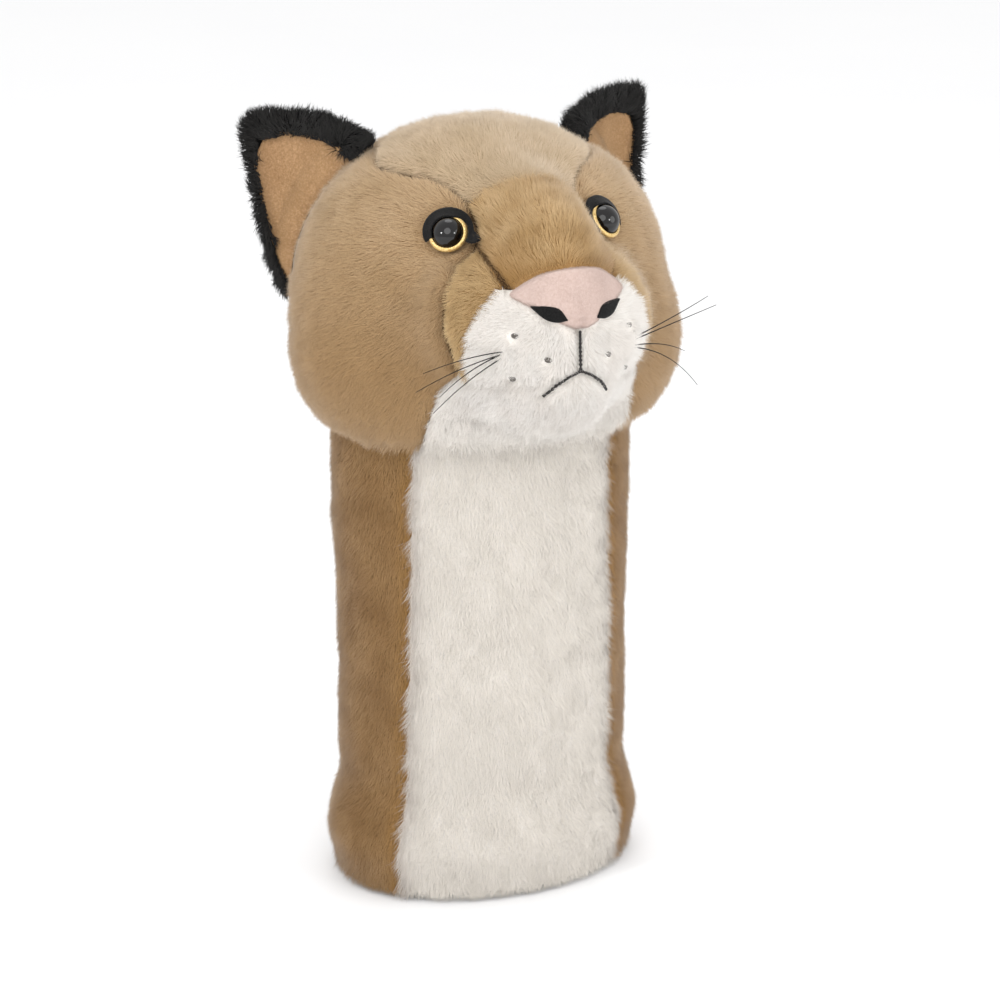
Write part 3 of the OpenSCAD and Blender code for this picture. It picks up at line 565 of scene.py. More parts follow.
def pile(name, body, grid, material, slot, rng, nap, density=3.0, length=5.6, lean=52, wide=0.3,
         edge=None, curl=0.5, bare=True, keep=None, floor=None, two=False, long=None, replaced=None,
         calm_grid=None, fringe=0.0):
    """Strands on a grid of skin points. nap(p, n) gives the way they lie, long(p) a share of the length."""
    normal = grid_normals(grid)
    calm = normal if calm_grid is None else grid_normals(calm_grid)
    n_rows, n_cols = grid.shape[:2]
    quads = grid_faces(n_rows, n_cols)
    flat, flat_n = grid.reshape(-1, 3), normal.reshape(-1, 3)
    tris = np.concatenate([quads[:, [0, 1, 2]], quads[:, [0, 2, 3]]], 1).reshape(-1, 3)
    corner = flat[tris]
    area = np.linalg.norm(np.cross(corner[:, 1] - corner[:, 0], corner[:, 2] - corner[:, 0]), axis=1) / 2
    total = np.cumsum(area)
    count = int(total[-1] * density)
    places = (np.arange(count) + rng.random(count)) * total[-1] / count
    pick = np.minimum(np.searchsorted(total, places), len(tris) - 1)
    r1, r2 = rng.random((2, count))
    flip = r1 + r2 > 1
    r1, r2 = np.where(flip, 1 - r1, r1), np.where(flip, 1 - r2, r2)
    share = np.stack([1 - r1 - r2, r1, r2], -1)[..., None]
    p = (corner[pick] * share).sum(1)
    n = unit((flat_n[tris[pick]] * share).sum(1))
    soft_n = (calm.reshape(-1, 3)[tris[pick]] * share).sum(1)
    side = (edge.reshape(-1)[tris[pick]] * share[..., 0]).sum(1) if edge is not None else np.zeros(count)
    if keep is not None:
        chosen = keep(p)
        p, n, side, soft_n = p[chosen], n[chosen], side[chosen], soft_n[chosen]
    full = np.ones(len(p))
    if bare:
        # The strands' 'edge' value is where the crease shade is painted.
        side = np.minimum(crease_shade_mask(p), 1)
        flat_p = unsunk(p)
        for marks, none, whole, least in BARE:
            far, _ = nearest(flat_p, marks)
            full = np.minimum(full, least + (1 - least) * smooth(far, none, whole))
        chosen = full > 0.02
        p, n, side, full, soft_n = p[chosen], n[chosen], side[chosen], full[chosen], soft_n[chosen]
    count = len(p)
    flow = nap(p, n)
    swirl = curl * (0.9 * noise3(p, 7.0, 11) + 0.9 * noise3(p, 3.2, 17))
    flow = flow + swirl + 0.28 * rng.normal(size=(count, 3))
    flow = unit(flow - (flow * n).sum(-1, keepdims=True) * n)
    tilt = np.radians(np.clip(lean + 9 * noise(p, 9, 41) + 8 * rng.normal(size=count), 5, 82))[:, None]
    size = length * (0.2 + 0.8 * full) * (1 + 0.22 * noise(p, 6, 23)) * rng.uniform(0.75, 1.2, count)
    if long is not None:
        size = size * long(p)
    size = size[:, None] * (1 + fringe * side[:, None])
    tip = p + size * (np.cos(tilt) * n + np.sin(tilt) * flow)
    first = np.maximum(tilt - 0.45, 0.05)
    mid = p + 0.5 * size * (np.cos(first) * n + np.sin(first) * flow)
    if floor is not None:
        tip[:, 2], mid[:, 2] = np.maximum(tip[:, 2], floor), np.maximum(mid[:, 2], floor)
    turn = rng.uniform(0, 2 * np.pi, count)
    a = unit(np.cross(flow, n))
    half = (wide / 2 * rng.uniform(0.7, 1.3, count))[:, None]
    angles = [(turn + k * THIRD_TURN)[:, None] for k in range(3)]
    ring = [np.cos(angle) * a + np.sin(angle) * flow for angle in angles]
    layers = [[p - 0.4 * n + half * r for r in ring]]
    if two:
        layers.append([mid + 0.8 * half * r for r in ring])
    points = np.stack([v for layer in layers for v in layer] + [tip], 1)
    per = points.shape[1]
    soft_n = unit(0.3 * n + 0.7 * unit(soft_n))
    body_n = [unit(0.9 * soft_n + 0.3 * r) for _ in layers for r in ring] + [unit(soft_n + 0.3 * flow)]
    normals = np.stack(body_n, 1)
    pattern = []
    for k in range(3):
        m = (k + 1) % 3
        if two:
            pattern += [(k, m, m + 3), (k, m + 3, k + 3), (k + 3, m + 3, 6)]
        else:
            pattern.append((k, m, 3))
    pattern = np.array(pattern)
    heights = np.array([0.0] * 3 + ([0.5] * 3 if two else []) + [1.0])
    tint = rng.random(count)
    corner_uv = np.array([(0.05, 0.05), (0.95, 0.05), (0.5, 0.95)])
    pieces = int(np.ceil(count * len(pattern) / MOST_FACES))
    for k, chosen in enumerate(np.array_split(np.arange(count), pieces)):
        many = len(chosen)
        faces = (pattern[None] + (np.arange(many) * per)[:, None, None]).reshape(-1, 3)
        # One cell of the UV map for each strand
        cells = int(np.ceil(np.sqrt(many)))
        place = np.stack([np.arange(many) % cells, np.arange(many) // cells], -1)
        uv = (place[:, None, None] + corner_uv[None, None]) / cells
        uv = np.broadcast_to(uv, (many, len(pattern), 3, 2)).reshape(-1, 2)
        item = build_mesh(name + ("" if k == 0 else f"_{k + 1}"), points[chosen].reshape(-1, 3), faces,
                          {"tint": np.repeat(tint[chosen], per), "tip": np.tile(heights, many),
                           "edge": np.repeat(side[chosen], per)}, normals[chosen].reshape(-1, 3), uv)
        finish_piece(item, body, material, slot, replaced)


def nap_head(p, n):
    """The pile lies away from the nose and down."""
    away = unit(p - np.array([0.0, -104.0, 312.0]))
    return away + np.array([0.0, 0.0, -0.55])


def nap_bridge(p, n):
    """Up from the nose, and a little outwards."""
    return unit(p - np.array([0.0, -132.0, 262.0])) + np.array([0.0, 0.3, 0.5])


def nap_down(p, n):
    return np.broadcast_to(np.array([0.0, 0.0, -1.0]), p.shape)


def nap_muzzle(p, n):
    away = unit(p - np.array([0.0, -118.0, 300.0]))
    return away + np.array([0.0, 0.1, -0.35])


# -------- the head's panels
def piece_grid(f, nu, nv, deep, side=1, tuck=0.0):
    """Skin points of a panel. `tuck` is the share of its width that goes under the panel beside it."""
    u, v = np.meshgrid(np.linspace(-tuck, 1 + tuck, nu), np.linspace(0, 1, nv))
    under = np.maximum(np.maximum(-u, u - 1), 0) / max(tuck, 0.001)
    d = f(u if side > 0 else 1 - u, v)
    d = mirrored(d, side)
    p = on_head(d)
    return p + (relief(p) - deep - 1.4 * under)[..., None] * d, d


SKIN_THICK = 1.1


def head_panel(name, f, nu, nv, material, slot, rng, side=1, tuck=0.0, **how):
    grid, d = piece_grid(f, nu, nv, SKIN_DEEP, side, tuck)
    points, faces = closed_grid(grid, grid - SKIN_THICK * d)
    # The skin's 'edge' attribute marks where the crease shade is painted.
    shade = np.tile(np.minimum(crease_shade_mask(grid), 1).ravel(), 2)
    finish_piece(build_mesh(name, points, faces, {"edge": shade}), "head", SKINS[material.name], slot, name)
    how.setdefault("nap", nap_head)
    pile(name + "_pile", "head", grid, material, slot, rng, replaced=name, calm_grid=on_head(d), **how)
    return grid


def straight(edge):
    """A panel stretched straight across the head between an edge and its mirror image."""
    def f(u, v):
        half = heading(*along(edge, v))
        return unit(mix(mirrored(half, -1), half, u[..., None]))
    return f


def strip_between(left, right):
    def f(u, v):
        a, b = along(left, v), along(right, v)
        return heading(mix(a[0], b[0], u), mix(a[1], b[1], u))
    return f


def cheek_f(u, v):
    """The cheek's lower edge follows the rim all the way."""
    a, b = along(CHEEK_FRONT, v), along(CHEEK_BACK, v)
    psi, theta = mix(a[0], b[0], u), mix(a[1], b[1], u)
    level = mix(RIM_CORNER, CHEEK_BACK[-1, 2], u)
    return heading(psi, theta + (rim(psi) - level) * np.clip((v - 0.8) / 0.2, 0, 1) ** 2)


def head_back_f(u, v):
    psi = mix(EAR_LINE, 180.0, u)
    line = np.cos(np.radians(EAR_LINE)) * np.tan(np.radians(37))
    top = np.degrees(np.arctan2(line, np.cos(np.radians(psi))))
    top = np.where(top < 0, top + 180, top)
    return heading(psi, mix(top, rim(psi), v))


def muzzle_pad_f(u, v):
    edge = along(WHITE_EDGE, v)
    return heading(mix(0.0, edge[0], u), mix(mix(79, MOUTH_AT, v), edge[1], u))


def chin_f(u, v):
    s = 2 * u - 1
    side = mix(102.6, float(THROAT_TOP), v)
    psi = s * np.interp(side, [102, 110, RIM_CORNER], [27.5, 34, NECK_CORNER])
    top = mix(MOUTH_AT, 104.0, np.minimum(np.abs(psi) / 24.6, 1)) - 1.4 * smooth(np.abs(s), 0.88, 1)
    return heading(psi, mix(top, THROAT_TOP, v))


def throat_f(u, v):
    s = 2 * u - 1
    side = mix(float(THROAT_TOP), RIM_CORNER, v)
    return heading(cheek_edge(side) * s, mix(float(THROAT_TOP), rim(NECK_CORNER * s), v))


# -------- nose, mouth and eyes: places first
def nose_grid(nu, nv):
    u, v = np.meshgrid(np.linspace(0, 1, nu), np.linspace(0, 1, nv))
    psi, theta = curved(NOSE_EDGE, v)
    half = heading(psi, theta)
    d = unit(mix(mirrored(half, -1), half, u[..., None]))
    # The pad is quilted: full in the middle and drawn in along its edge
    half_wide = np.maximum(np.sin(np.radians(psi)) * NOSE_OUT, 3)
    inset = np.minimum(np.minimum(u, 1 - u) * 2 * half_wide, np.minimum(v, 1 - v) * NOSE_HIGH)
    return on_head(d), d, np.minimum(inset / 5.0, 1)


def eye_frame(side):
    n = head_normal(side * EYE_AT[0], EYE_AT[1])
    spot = at_head(side * EYE_AT[0], EYE_AT[1])
    up = unit(np.array([0, 0, 1.0]) - n * n[2])
    out = side * unit(np.cross(up, n))
    return spot, n, up, out


def lid_grid(side, n_cols=60, n_rows=7):
    spot, n, up, out = eye_frame(side)
    t = np.linspace(0, 1, n_cols)
    angle = np.radians(mix(-24, 204, t))
    width = 2.9 * np.sqrt(np.sin(np.radians(180 * mix(0.06, 0.96, t))))
    width = width + 4.4 * np.exp(-((t - 0.95) / 0.05) ** 2)
    k = np.linspace(0, 1, n_rows)[:, None]
    # The lid laps over the gold ring above the eye and at its outer corner
    inner = EYE_D / 2 + mix(-2.1, 0.2, smooth(t, 0.5, 0.8))
    reach = mix(inner, EYE_D / 2 + 0.4 + width, k)
    p = spot + reach[..., None] * (np.cos(angle)[None, :, None] * out + np.sin(angle)[None, :, None] * up)
    return p, n, k + 0 * t


def thread_places():
    v = np.linspace(0, 1, 24)
    lines = [(0 * v, mix(87.8, 96.2, v))]
    for side in (-1, 1):
        psi, theta = along(LIP, mix(0.0, 1, v))
        lines.append((side * (psi + 0.5 * v), theta))
    return lines


DOTS = [(14, 88.6), (7, 93.8), (14.3, 99)]
BARE.append((nose_grid(40, 30)[0].reshape(-1, 3), 0.9, 3.2, 0.0))
BARE.append((np.array([eye_frame(s)[0] for s in (-1, 1)]), 9.2, 14.0, 0.0))
BARE.append((np.concatenate([lid_grid(s)[0][:-1].reshape(-1, 3) for s in (-1, 1)]), 1.0, 4.0, 0.0))
BARE.append((np.concatenate([at_head(a, b) for a, b in thread_places()]), 0.5, 3.4, 0.0))
BARE.append((np.array([at_head(s * a, b) for a, b in DOTS for s in (-1, 1)]), 2.3, 3.8, 0.0))


# -------- build the head
rng = np.random.default_rng(11)


def rim_long(p):
    """Pile grows longer where it hangs over the neck."""
    return 1 + 0.1 * smooth(-p[..., 2], -238, -224)


head_panel("forehead_gusset", straight(BROW), 100, 60, TAN_CROWN, "tan_crown_plush", rng, density=4.0,
           length=5.0, lean=56, wide=0.28, tuck=0.025)
head_panel("nose_bridge", straight(BRIDGE_SIDE), 44, 40, TAN_BRIDGE, "tan_bridge_plush", rng,
           density=3.8, length=6.0, lean=44, curl=1.3, wide=0.34, tuck=0.05, nap=nap_bridge)
for side, tag in SIDES:
    head_panel("cheek_" + tag, cheek_f, 60, 110, TAN_FACE, "tan_face_plush", rng,
               side=side, density=3.8, length=5.2, lean=56, wide=0.28, long=rim_long)
    head_panel("head_back_" + tag, head_back_f, 50, 70, TAN_FACE, "tan_face_plush", rng,
               side=side, density=3.0, length=5.4, lean=56, wide=0.3, long=rim_long)
    head_panel("muzzle_side_" + tag, strip_between(STRIP_IN, STRIP_OUT), 14, 40, TAN_STRIP,
               "tan_bridge_plush", rng, side=side, density=3.8, length=5.0, lean=50, curl=1.0, tuck=0.12)
    head_panel("muzzle_pad_" + tag, muzzle_pad_f, 34, 34, CREAM, "cream_plush", rng, side=side,
               density=3.6, length=5.2, lean=46, curl=0.8, nap=nap_muzzle)
head_panel("chin", chin_f, 60, 36, CREAM, "cream_plush", rng, density=3.4, length=6.2, lean=44, curl=0.8,
           nap=nap_muzzle)
head_panel("throat", throat_f, 60, 22, CREAM, "cream_plush", rng, density=3.2, length=6.6, lean=50, curl=0.6,
           nap=nap_down, long=rim_long)

# -------- nose
p, d, full = nose_grid(60, 44)
top = p + (mix(-0.4, 2.9, np.sqrt(np.clip(1 - (1 - full) ** 2, 0, 1))) + relief(p) * 0.3)[..., None] * d
nose = shell("nose_pad", top, p - 1.2 * d, "head", SKINS[PINK_PILE.name], "pink_felt")
pile("nose_velour", "head", top, PINK_PILE, "pink_felt", rng, nap_head, density=9, length=0.8, lean=30,
     wide=0.2, bare=False, replaced="nose_pad")
UPPER = evenly([(3.4, 84.8), (4.9, 82.7), (7.5, 82.0), (10.6, 82.0)])
LOWER = evenly([(3.4, 85.2), (5.6, 85.5), (8.0, 84.7), (10.6, 82.3)])
for side, tag in SIDES:
    u, v = np.meshgrid(np.linspace(0, 1, 24), np.linspace(0, 1, 10))
    u = u if side > 0 else 1 - u
    a, b = curved(UPPER, u), curved(LOWER, u)
    d = mirrored(heading(mix(a[0], b[0], v), mix(a[1], b[1], v)), side)
    round_edge = 1 - (2 * np.abs(v - 0.5)) ** 3
    outer = on_head(d, 3.3 + 0.7 * round_edge)
    shell("nostril_" + tag, outer, on_head(d, 2.0 + 0 * u), "head", FELT, "black_felt")


# -------- threads and whiskers
def tube(path, radius, sides=8, twist=0.0):
    path = np.asarray(path, float)
    radius = np.broadcast_to(radius, len(path))
    way = unit(np.gradient(path, axis=0))
    guide = np.where(np.abs(way[:, 2:]) > 0.8, np.array([[1.0, 0, 0]]), np.array([[0, 0, 1.0]]))
    a = unit(np.cross(way, guide))
    b = np.cross(way, a)
    angle = np.arange(sides) * 2 * np.pi / sides
    step = np.concatenate([[0], np.cumsum(np.linalg.norm(np.diff(path, axis=0), axis=1))]) * twist
    turn = angle[None] + step[:, None]
    lump = 1 + (0.18 * np.cos(2 * angle)[None] if twist else 0)
    around = np.cos(turn)[..., None] * a[:, None] + np.sin(turn)[..., None] * b[:, None]
    ring = path[:, None] + (radius[:, None] * lump)[..., None] * around
    n = len(path)
    faces = grid_faces(n, sides, True)
    points = np.concatenate([ring.reshape(-1, 3), path[:1], path[-1:]])
    cap = np.arange(sides)
    start = np.stack([cap, (cap + 1) % sides, np.full(sides, n * sides)], -1)
    last = (n - 1) * sides
    end = np.stack([(cap + 1) % sides + last, cap + last, np.full(sides, n * sides + 1)], -1)
    tri = np.concatenate([faces[:, [0, 1, 2]], faces[:, [0, 2, 3]], start[:, ::-1], end[:, ::-1]])
    return points, tri


def join(parts):
    points, faces, at = [], [], 0
    for p, f in parts:
        points.append(p)
        faces.append(f + at)
        at += len(p)
    return np.concatenate(points), np.concatenate(faces)


parts = []
for psi, theta in thread_places():
    path = at_head(psi, theta)
    d = unit(path - CENTRE)
    fine = np.linspace(0, 1, 90)
    path = path + (0.35 * relief(path) + 0.5)[:, None] * d
    path = np.stack([np.interp(fine, np.linspace(0, 1, len(path)), path[:, k]) for k in range(3)], -1)
    parts.append(tube(path, 0.62 + 0.12 * np.sin(fine * 60), 8, 1.6))
solid("mouth_stitch", *join(parts), "head", THREAD, "black_thread")

# Each whisker: where it is sewn in, its share of the length, the rise of its tip and how much it droops
WHISKER_LEN = 42
WHISKERS = {"right": [(16.6, 92.6, 0.93, 0.02, 0.16), (17, 93.4, 1, -0.1, 0.18),
                      (17, 94.4, 0.84, -0.34, 0.24), (17.6, 93.8, 0.7, -0.2, 0.3)],
            "left": [(17, 92.4, 0.94, 0.44, 0.02), (17.6, 93, 1, 0.36, 0.06), (18, 95.2, 0.74, -0.12, 0.5),
                     (17, 94.4, 0.6, 0.12, 0.3)]}
for side, tag in SIDES:
    parts = []
    for psi, theta in DOTS:
        n = head_normal(side * psi, theta)
        spot = at_head(side * psi, theta)
        a = unit(np.cross(n, [0.3, 0, 1.0]))
        b = np.cross(n, a)
        # An embroidered dot: short threads laid side by side, sunk into the pile
        for k in range(3):
            off = (k - 1) * 0.6
            half = 1.7 - 0.4 * abs(k - 1)
            t = np.linspace(-1, 1, 9)[:, None]
            path = spot + off * b + t * half * a + (0.5 * (1 - t ** 2) + 0.2) * n
            parts.append(tube(path, 0.56 * np.sqrt(1.2 - t[:, 0] ** 2), 8))
    solid("whisker_dots_" + tag, *join(parts), "head", DOT_THREAD, "black_thread")
    parts = []
    for psi, theta, share, rise, droop in WHISKERS[tag]:
        root = at_head(side * psi, theta, -1.0)
        out = unit(np.array([side * 0.9, -0.2, rise]))
        t = np.linspace(0, 1, 26)[:, None]
        path = root + WHISKER_LEN * share * (out * t + np.array([0, 0.14, -droop]) * t ** 2.2)
        parts.append(tube(path, 0.3 * (1 - 0.55 * t[:, 0]), 6))
    solid("whiskers_" + tag, *join(parts), "head", NYLON, "whisker_nylon")


# -------- eyes
def lathe(profile, spot, n, up, sides=64):
    profile = np.asarray(profile, float)
    a, b = unit(np.cross(up, n)), up
    angle = np.linspace(0, 2 * np.pi, sides, endpoint=False)
    ring = np.cos(angle)[:, None] * a + np.sin(angle)[:, None] * b
    grid = spot + profile[:, None, :1] * ring[None] + profile[:, None, 1:] * n
    faces = grid_faces(len(profile), sides, True)
    return grid.reshape(-1, 3), faces[:, ::-1]


for side, tag in SIDES:
    spot, n, up, out = eye_frame(side)
    seat = spot + n * SEAT
    dome_r = EYE_D / 2 - IRIS_W
    ball = (dome_r ** 2 + EYE_DOME_H ** 2) / (2 * EYE_DOME_H)
    t = np.linspace(0, 1, 22)
    top_angle = np.arcsin(dome_r / ball)
    profile = [(max(ball * np.sin(x * top_angle), 0.001), EYE_DOME_H - ball + ball * np.cos(x * top_angle))
               for x in t]
    profile += [(dome_r - 0.2, -0.6), (2.2, -0.8), (2.2, -14), (0.001, -14)]
    solid("eye_" + tag, *lathe(profile, seat, n, up), "head", EYE_BLACK, "eye_black")
    r = EYE_D / 2
    ring = [(dome_r - 0.05, 1.2), (dome_r + 0.5, 1.3), (r - 0.8, 1.1), (r - 0.3, 0.6), (r - 0.1, 0.0),
            (r - 0.4, -0.5), (dome_r - 0.05, -0.5), (dome_r - 0.05, 1.2)]
    solid("iris_" + tag, *lathe(ring, seat, n, up), "head", IRIS_GOLD, "iris_gold")
    p, n, k = lid_grid(side)
    d = unit(p - CENTRE)
    q = on_head(d)
    # The felt rises towards the eye and is cut with a slightly rounded edge
    lap = 1 - smooth(np.linspace(0, 1, q.shape[1]), 0.5, 0.8)
    lift = 1.9 + 3.0 * lap * (1 - k) ** 1.3 + 0.2 * noise(q, 3, 71)
    outer, inner = q + lift[..., None] * n, q + (lift - 1.2)[..., None] * n
    if side < 0:
        outer, inner = outer[:, ::-1], inner[:, ::-1]
    shell("eyelid_" + tag, outer[::-1], inner[::-1], "head", FELT, "black_felt")
    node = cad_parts["eye_washer_" + tag]
    node.data.materials.clear()
    node.data.materials.append(WASHER)

# -------- inside the head
POCKET = np.array([HALF_W - 6, HALF_D - 6, CROWN_H - 14])
POCKET_EDGE = 33    # height of the pocket lining's lower edge above the nod line
FILL_GAP, FILL_NECK_GAP = 1.6, 1.8


def pocket_reach(d):
    flat = (d[..., 0] / POCKET[0]) ** 2 + (d[..., 1] / POCKET[1]) ** 2
    return (flat ** 2 + np.abs(d[..., 2] / POCKET[2]) ** 4) ** (-1 / 4)


def hollow_reach(d):
    w = NOD - CENTRE
    u, q = d / NECK_HALF, w / NECK_HALF
    a, b, c = (u * u).sum(-1), (u * q).sum(-1), (q * q).sum() - 1
    disc = b * b - a * c
    return np.where((disc > 0) & (b > 0), (b + np.sqrt(np.maximum(disc, 0))) / a, 0)


psi, v = np.meshgrid(np.linspace(0, 360, 240, endpoint=False), np.linspace(0, 1, 110))
low = rim(psi[0])[None] - 3.5
d = heading(psi, mix(1.0, low, v))
skin = on_head(d)
outer = on_head(d, -6.4 + 1.3 * np.minimum(relief(skin), 0) + 0.5 * noise(skin, 11, 3))
reach = np.maximum(pocket_reach(d) + FILL_GAP, hollow_reach(d) + FILL_NECK_GAP) + 0.25 * noise(skin, 9, 4)
inner = CENTRE + reach[..., None] * d
fill = shell("head_stuffing", outer, inner, "head", WADDING, "polyester_fill", wrap=True)
edge_low = 90 + np.degrees(np.arctan((HEAD_RISE - POCKET_EDGE) / pocket_reach(heading(psi[0], 90.0))))[None]
d = heading(psi, mix(1.0, edge_low, v))
wrinkle = 0.35 * np.sin(np.radians(psi) * 26 + 3 * noise(d * 60, 20, 8)) * smooth(v, 0.35, 1)
wall = CENTRE + (pocket_reach(d) - 0.5 + wrinkle)[..., None] * d
shell("pocket_lining", wall, wall - 0.7 * d, "head", SATIN, "satin_lining", wrap=True)

# -------- ears
EAR_OUT = unit(np.array([0.47, 0.38, 0.79]))
EAR_LEN, EAR_CUP = 48.0, 7.0
EAR_W = 92      # along the seam
# Lines of black pile round the ear: how far in from its outline, and how far off the ear's face
RIBBON = ((9.6, 1.2), (6.2, 1.5), (3.0, 1.2), (0.6, 0.4), (0.0, -0.8), (1.2, -2.0))


def ear_narrow(t):
    """The ear's width at the share t of its height, as a share of its width at the seam."""
    return (1 - np.clip(t, 0, 1) ** 1.5) ** 0.85


def ear_point(q, t, off):
    def seam(s):
        return at_head(mix(106.0, 109.0, s), mix(37.0, 91.0, s), 2.0 + 0 * s)
    middle = at_head(107.5, 64.0, 2.0)
    face = unit(np.cross(seam(np.array(1.0)) - seam(np.array(0.0)), EAR_OUT))
    cup = EAR_CUP * np.sin(np.pi * np.minimum(t + 0.08, 1)) * (1 - (2 * q - 1) ** 2)
    p = middle + (t * EAR_LEN)[..., None] * EAR_OUT + (seam(q) - middle) * ear_narrow(t)[..., None]
    return p + face * (off - cup * np.clip(4 * t, 0, 1))[..., None], face


def ear_grid(side, t_range, off, crown_border=0.0, outer_border=0.0, n_q=44, n_t=50):
    """The borders are left free along the ear's two edges, in mm."""
    q, t = np.meshgrid(np.linspace(0, 1, n_q), np.linspace(t_range[1], t_range[0], n_t))
    width = EAR_W * ear_narrow(t)
    q = mix(np.minimum(crown_border / width, 0.6), 1 - np.minimum(outer_border / width, 0.39), q)
    if side < 0:
        q = q[:, ::-1]
    p, face = ear_point(q, t, off + 0 * q)
    return mirrored(p, side), mirrored(face, side)


def nap_ear(p, n):
    return np.broadcast_to(np.array([0.0, 0.0, 1.0]), p.shape) + 0.6 * unit(p - CENTRE)


for side, tag in SIDES:
    body = "ear_" + tag
    front, face = ear_grid(side, (-0.06, 0.985), -0.7)
    behind = front - 1.4 * face
    shell("ear_back_" + tag, front, behind, body, SKINS[BLACK.name], "black_plush")
    outward = mirrored(EAR_OUT, side)
    # Black pile on the back, turned round over the edge, where it is longer
    pile("ear_back_pile_" + tag, body, behind[:, ::-1], BLACK, "black_plush", rng, nap_ear, density=3.0,
         length=5.5, lean=52, wide=0.42, bare=False, replaced="ear_back_" + tag)
    # The border: black pile along the outline, standing out in the ear's own plane and over the lining's edge
    line_t = np.concatenate([np.linspace(-0.05, 0.975, 80), np.linspace(0.975, -0.05, 80)])
    crown_side = (np.arange(160) < 80) == (side > 0)

    def border(inset, off):
        share = np.minimum(inset * np.where(crown_side, 1.5, 0.9) / (EAR_W * ear_narrow(line_t)), 0.5)
        q = np.where(crown_side, share, 1 - share)
        p, _ = ear_point(q, line_t * (1 - 0.012 * inset), off + 0 * share)
        return mirrored(p, side)

    middle = mirrored(ear_point(np.array(0.5), np.array(0.35), np.array(0.0))[0], side)

    def nap_border(p, n):
        return unit(p - middle) + 0.5 * outward

    ribbon = np.stack([border(*line) for line in RIBBON])
    pile("ear_border_" + tag, body, ribbon[:, ::-1], BLACK, "black_plush", rng, nap_border, density=4.5,
         length=6.2, lean=56, wide=0.45, bare=False, curl=1.0, two=True, replaced="ear_back_" + tag)
    inside, face = ear_grid(side, (-0.07, 0.74), 1.4, 12.5, 6)
    shell("ear_lining_" + tag, inside, inside - 1.1 * face, body, SKINS[EAR_PILE.name], "ear_velour")
    pile("ear_velour_" + tag, body, inside, EAR_PILE, "ear_velour", rng, nap_ear, density=6, length=1.5,
         lean=45, wide=0.24, bare=False, replaced="ear_lining_" + tag)


# -------- the sleeve
def swell(z):
    return (5 * np.exp(-((z - 24) / 16) ** 2) - 1.5 * np.exp(-((z - 52) / 12) ** 2)
            - 1.5 * np.sin(np.pi * np.clip(z / SLEEVE_LEN, 0, 1)) ** 2)


def oval(turn, z, s):
    """Places on the sleeve's ellipse made larger by s all round."""
    a = np.radians(turn)
    return np.stack([(HALF_W + s) * np.sin(a), -(HALF_D + s) * np.cos(a), z + 0 * s], -1)


def on_sleeve(turn, z, deep):
    return oval(turn, z, swell(z) - deep)


BELLY_EDGE = np.degrees(np.arcsin([BELLY_W_HEM / (2 * HALF_W), BELLY_W_NECK / (2 * HALF_W)]))
BACK_EDGE = 180 - BELLY_EDGE + 4
PANEL_TOP, PANEL_FOOT = SLEEVE_LEN + 22, 1.6
MEAN_RADIUS = 66


def sleeve_panel(name, start, end, material, slot, rng, n_cols, **how):
    s, v = np.meshgrid(np.linspace(0, 1, n_cols), np.linspace(0, 1, 130))
    z = mix(PANEL_TOP, PANEL_FOOT, v)
    share = z / SLEEVE_LEN
    turn = mix(mix(start[0], start[1], share), mix(end[0], end[1], share), s)
    p = on_sleeve(turn, z, 0.0)
    wide = np.abs(mix(end[0] - start[0], end[1] - start[1], share))
    across = np.minimum(s, 1 - s) * wide * np.radians(1) * MEAN_RADIUS
    dip = 1.6 * np.exp(-(across / 3.2) ** 2)
    # The hem is turned in at the foot, and the fabric lies in slow waves
    foot = 3.2 * (1 - np.sqrt(np.clip(1 - np.clip(1 - z / 7, 0, 1) ** 2, 0, 1)))
    wave = 1.1 * noise(p * np.array([1, 1, 0.6]), 38, 51) + 0.45 * noise(p, 15, 52)
    slant = (p[..., 0] - 8) * 0.86 + (z - 118) * 0.42
    pinch = -1.6 * np.exp(-(slant / 5) ** 2) * np.exp(-((z - 118) / 34) ** 2) * (p[..., 1] < 0)
    calm = smooth(-z, -214, -200)
    deep = SKIN_DEEP + dip + foot - calm * (wave + pinch)
    grid = on_sleeve(turn, z, deep)
    # Inside the head the fabric keeps within the hollow that the neck turns in
    room = NECK_HALF - 0.9
    spread = (p[..., 0] / room[0]) ** 2 + (p[..., 1] / room[1]) ** 2
    rise = np.clip((z - SLEEVE_LEN) / room[1], 0, 1)
    shrink = np.minimum(np.sqrt((1 - rise ** 2) / spread), 1)
    grid[..., :2] *= np.where(z > SLEEVE_LEN - 20, shrink, 1)[..., None]
    away = unit(grid - np.stack([0 * z, 0 * z, z], -1))
    shell(name, grid, grid - 1.0 * away, "sleeve", SKINS[material.name], slot)
    # Near the belly's seams each strand gets an 'edge' value: there the cream pile takes a painted shade, the
    # tan side pile a lighter gold that is partly painted highlight and partly brushed pile, and the belly's
    # pile grows longer.
    pile(name + "_pile", "sleeve", grid, material, slot, rng, nap_down, bare=False, floor=-1.2,
         edge=np.exp(-(across / 5.5) ** 2) * (p[..., 1] < 0), keep=lambda q: q[:, 2] < 237,
         replaced=name, **how)


def hem_long(p):
    return (1 + 0.75 * smooth(-p[..., 2], -12, -2)) * (1 - 0.55 * smooth(p[..., 2], 218, 228))


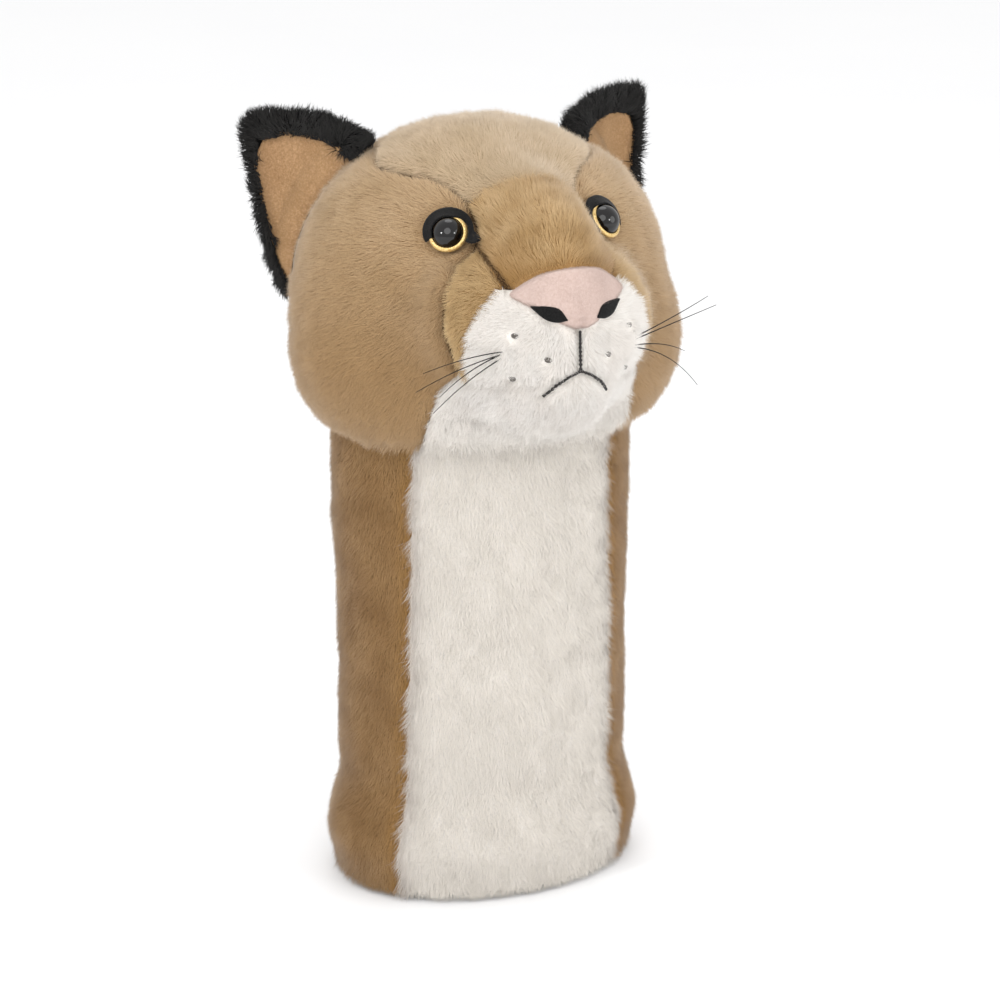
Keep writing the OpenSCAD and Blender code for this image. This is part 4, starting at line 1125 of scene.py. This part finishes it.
sleeve_panel("belly_panel", -BELLY_EDGE, BELLY_EDGE, CREAM, "cream_plush", rng, 90, density=3.8, length=5.2,
             lean=58, wide=0.28, curl=0.5, long=hem_long, fringe=0.5)
side_pile = dict(density=3.6, length=4.6, lean=60, wide=0.28, curl=0.4, long=hem_long)
sleeve_panel("side_panel_left", BELLY_EDGE, BACK_EDGE, TAN_SIDE, "tan_side_plush", rng, 70, **side_pile)
sleeve_panel("side_panel_right", -BACK_EDGE, -BELLY_EDGE, TAN_SIDE, "tan_side_plush", rng, 70, **side_pile)
sleeve_panel("back_panel", BACK_EDGE, 360 - BACK_EDGE, TAN_SIDE, "tan_side_plush", rng, 70, density=2.9,
             length=4.8, lean=60, wide=0.3, curl=0.4, long=hem_long)


def sleeve_ring(name, low, high, outside, thick, material, slot, gathers, n_rows):
    turn, z = np.meshgrid(np.linspace(0, 360, 240, endpoint=False), np.linspace(high, low, n_rows))
    p = on_sleeve(turn, z, outside)
    fold = gathers * np.sin(np.radians(turn) * 44 + 2 * noise(p, 30, 81)) + 0.5 * gathers * noise(p, 12, 82)
    outer, inner = on_sleeve(turn, z, outside - fold), on_sleeve(turn, z, outside + thick - fold)
    shell(name, outer, inner, "sleeve", material, slot, wrap=True)


sleeve_ring("sleeve_lining", 8.3, 226, 4.4, 0.7, SATIN, "satin_lining", 0.22, 90)
sleeve_ring("grip_elastic", 46, 58, 5.8, 1.0, ELASTIC, "elastic", 0.15, 14)
turn, z = np.meshgrid(np.linspace(0, 360, 240, endpoint=False), np.linspace(8, 0, 20))
round_in = 0.9 * (1 - np.sqrt(np.clip(1 - (np.abs(z - 4) / 4) ** 4, 0, 1)))
stitch = 0.15 * np.sin(np.radians(turn) * 180)
outer, inner = oval(turn, z, -3.9 - round_in), oval(turn, z, -7.7 + round_in + stitch)
shell("hem_band", outer, inner, "sleeve", SATIN, "satin_lining", wrap=True)

# -------- floor, light and camera
floor_look = Look("floor", 0.9, 0.0, 0.1)
floor_look.colour(floor_look.mix(floor_look.noise(3, 2), srgb(250, 250, 250), srgb(247, 247, 248)))
floor_mesh = bpy.data.meshes.new("floor")
FLOOR_HALF, FLOOR_Z = 6, -0.0022
corners = [(x * FLOOR_HALF, y * FLOOR_HALF, FLOOR_Z) for x, y in ((-1, -1), (1, -1), (1, 1), (-1, 1))]
floor_mesh.from_pydata(corners, [], [(0, 1, 2, 3)])
floor = bpy.data.objects.new("floor", floor_mesh)
bpy.context.scene.collection.objects.link(floor)
floor_mesh.materials.append(floor_look.material)

world = bpy.data.worlds.new("studio")
bpy.context.scene.world = world
world.use_nodes = True
world.node_tree.nodes["Background"].inputs["Color"].default_value = (1, 1, 1, 1)
world.node_tree.nodes["Background"].inputs["Strength"].default_value = 1.0


def softbox(name, place, aim, size, power):
    light = bpy.data.lights.new(name, "AREA")
    light.shape = "DISK"
    light.size = size
    light.energy = power
    item = bpy.data.objects.new(name, light)
    item.location = place
    item.rotation_euler = (Vector(aim) - Vector(place)).to_track_quat("-Z", "Y").to_euler()
    bpy.context.scene.collection.objects.link(item)


softbox("key", (-0.8, -1.5, 1.4), (0, 0, 0.2), 1.6, 14)
softbox("glint_left", (-1.66, -0.6, 0.8), (0, 0, 0.28), 0.3, 6)
softbox("glint_right", (0.66, -1.56, 0.8), (0, 0, 0.28), 0.3, 3)
softbox("fill", (1.3, -1.2, 0.7), (0, 0, 0.2), 1.2, 7)
softbox("top", (0.2, 0.5, 1.6), (0, 0, 0.3), 0.8, 3)

camera_data = bpy.data.cameras.new("camera")
camera_data.lens = 113.7
camera_data.sensor_width = 36
camera = bpy.data.objects.new("camera", camera_data)
turn, rise, far = np.radians(-22), np.radians(17), 1.5
aim = Vector((0.009 * np.cos(turn), 0.009 * np.sin(turn), 0.180))
back = Vector((np.sin(turn) * np.cos(rise), -np.cos(turn) * np.cos(rise), np.sin(rise)))
camera.location = aim + far * back
camera.rotation_euler = (-back).to_track_quat("-Z", "Y").to_euler()
bpy.context.scene.collection.objects.link(camera)
bpy.context.scene.camera = camera
bpy.context.scene.view_settings.view_transform = "Standard"
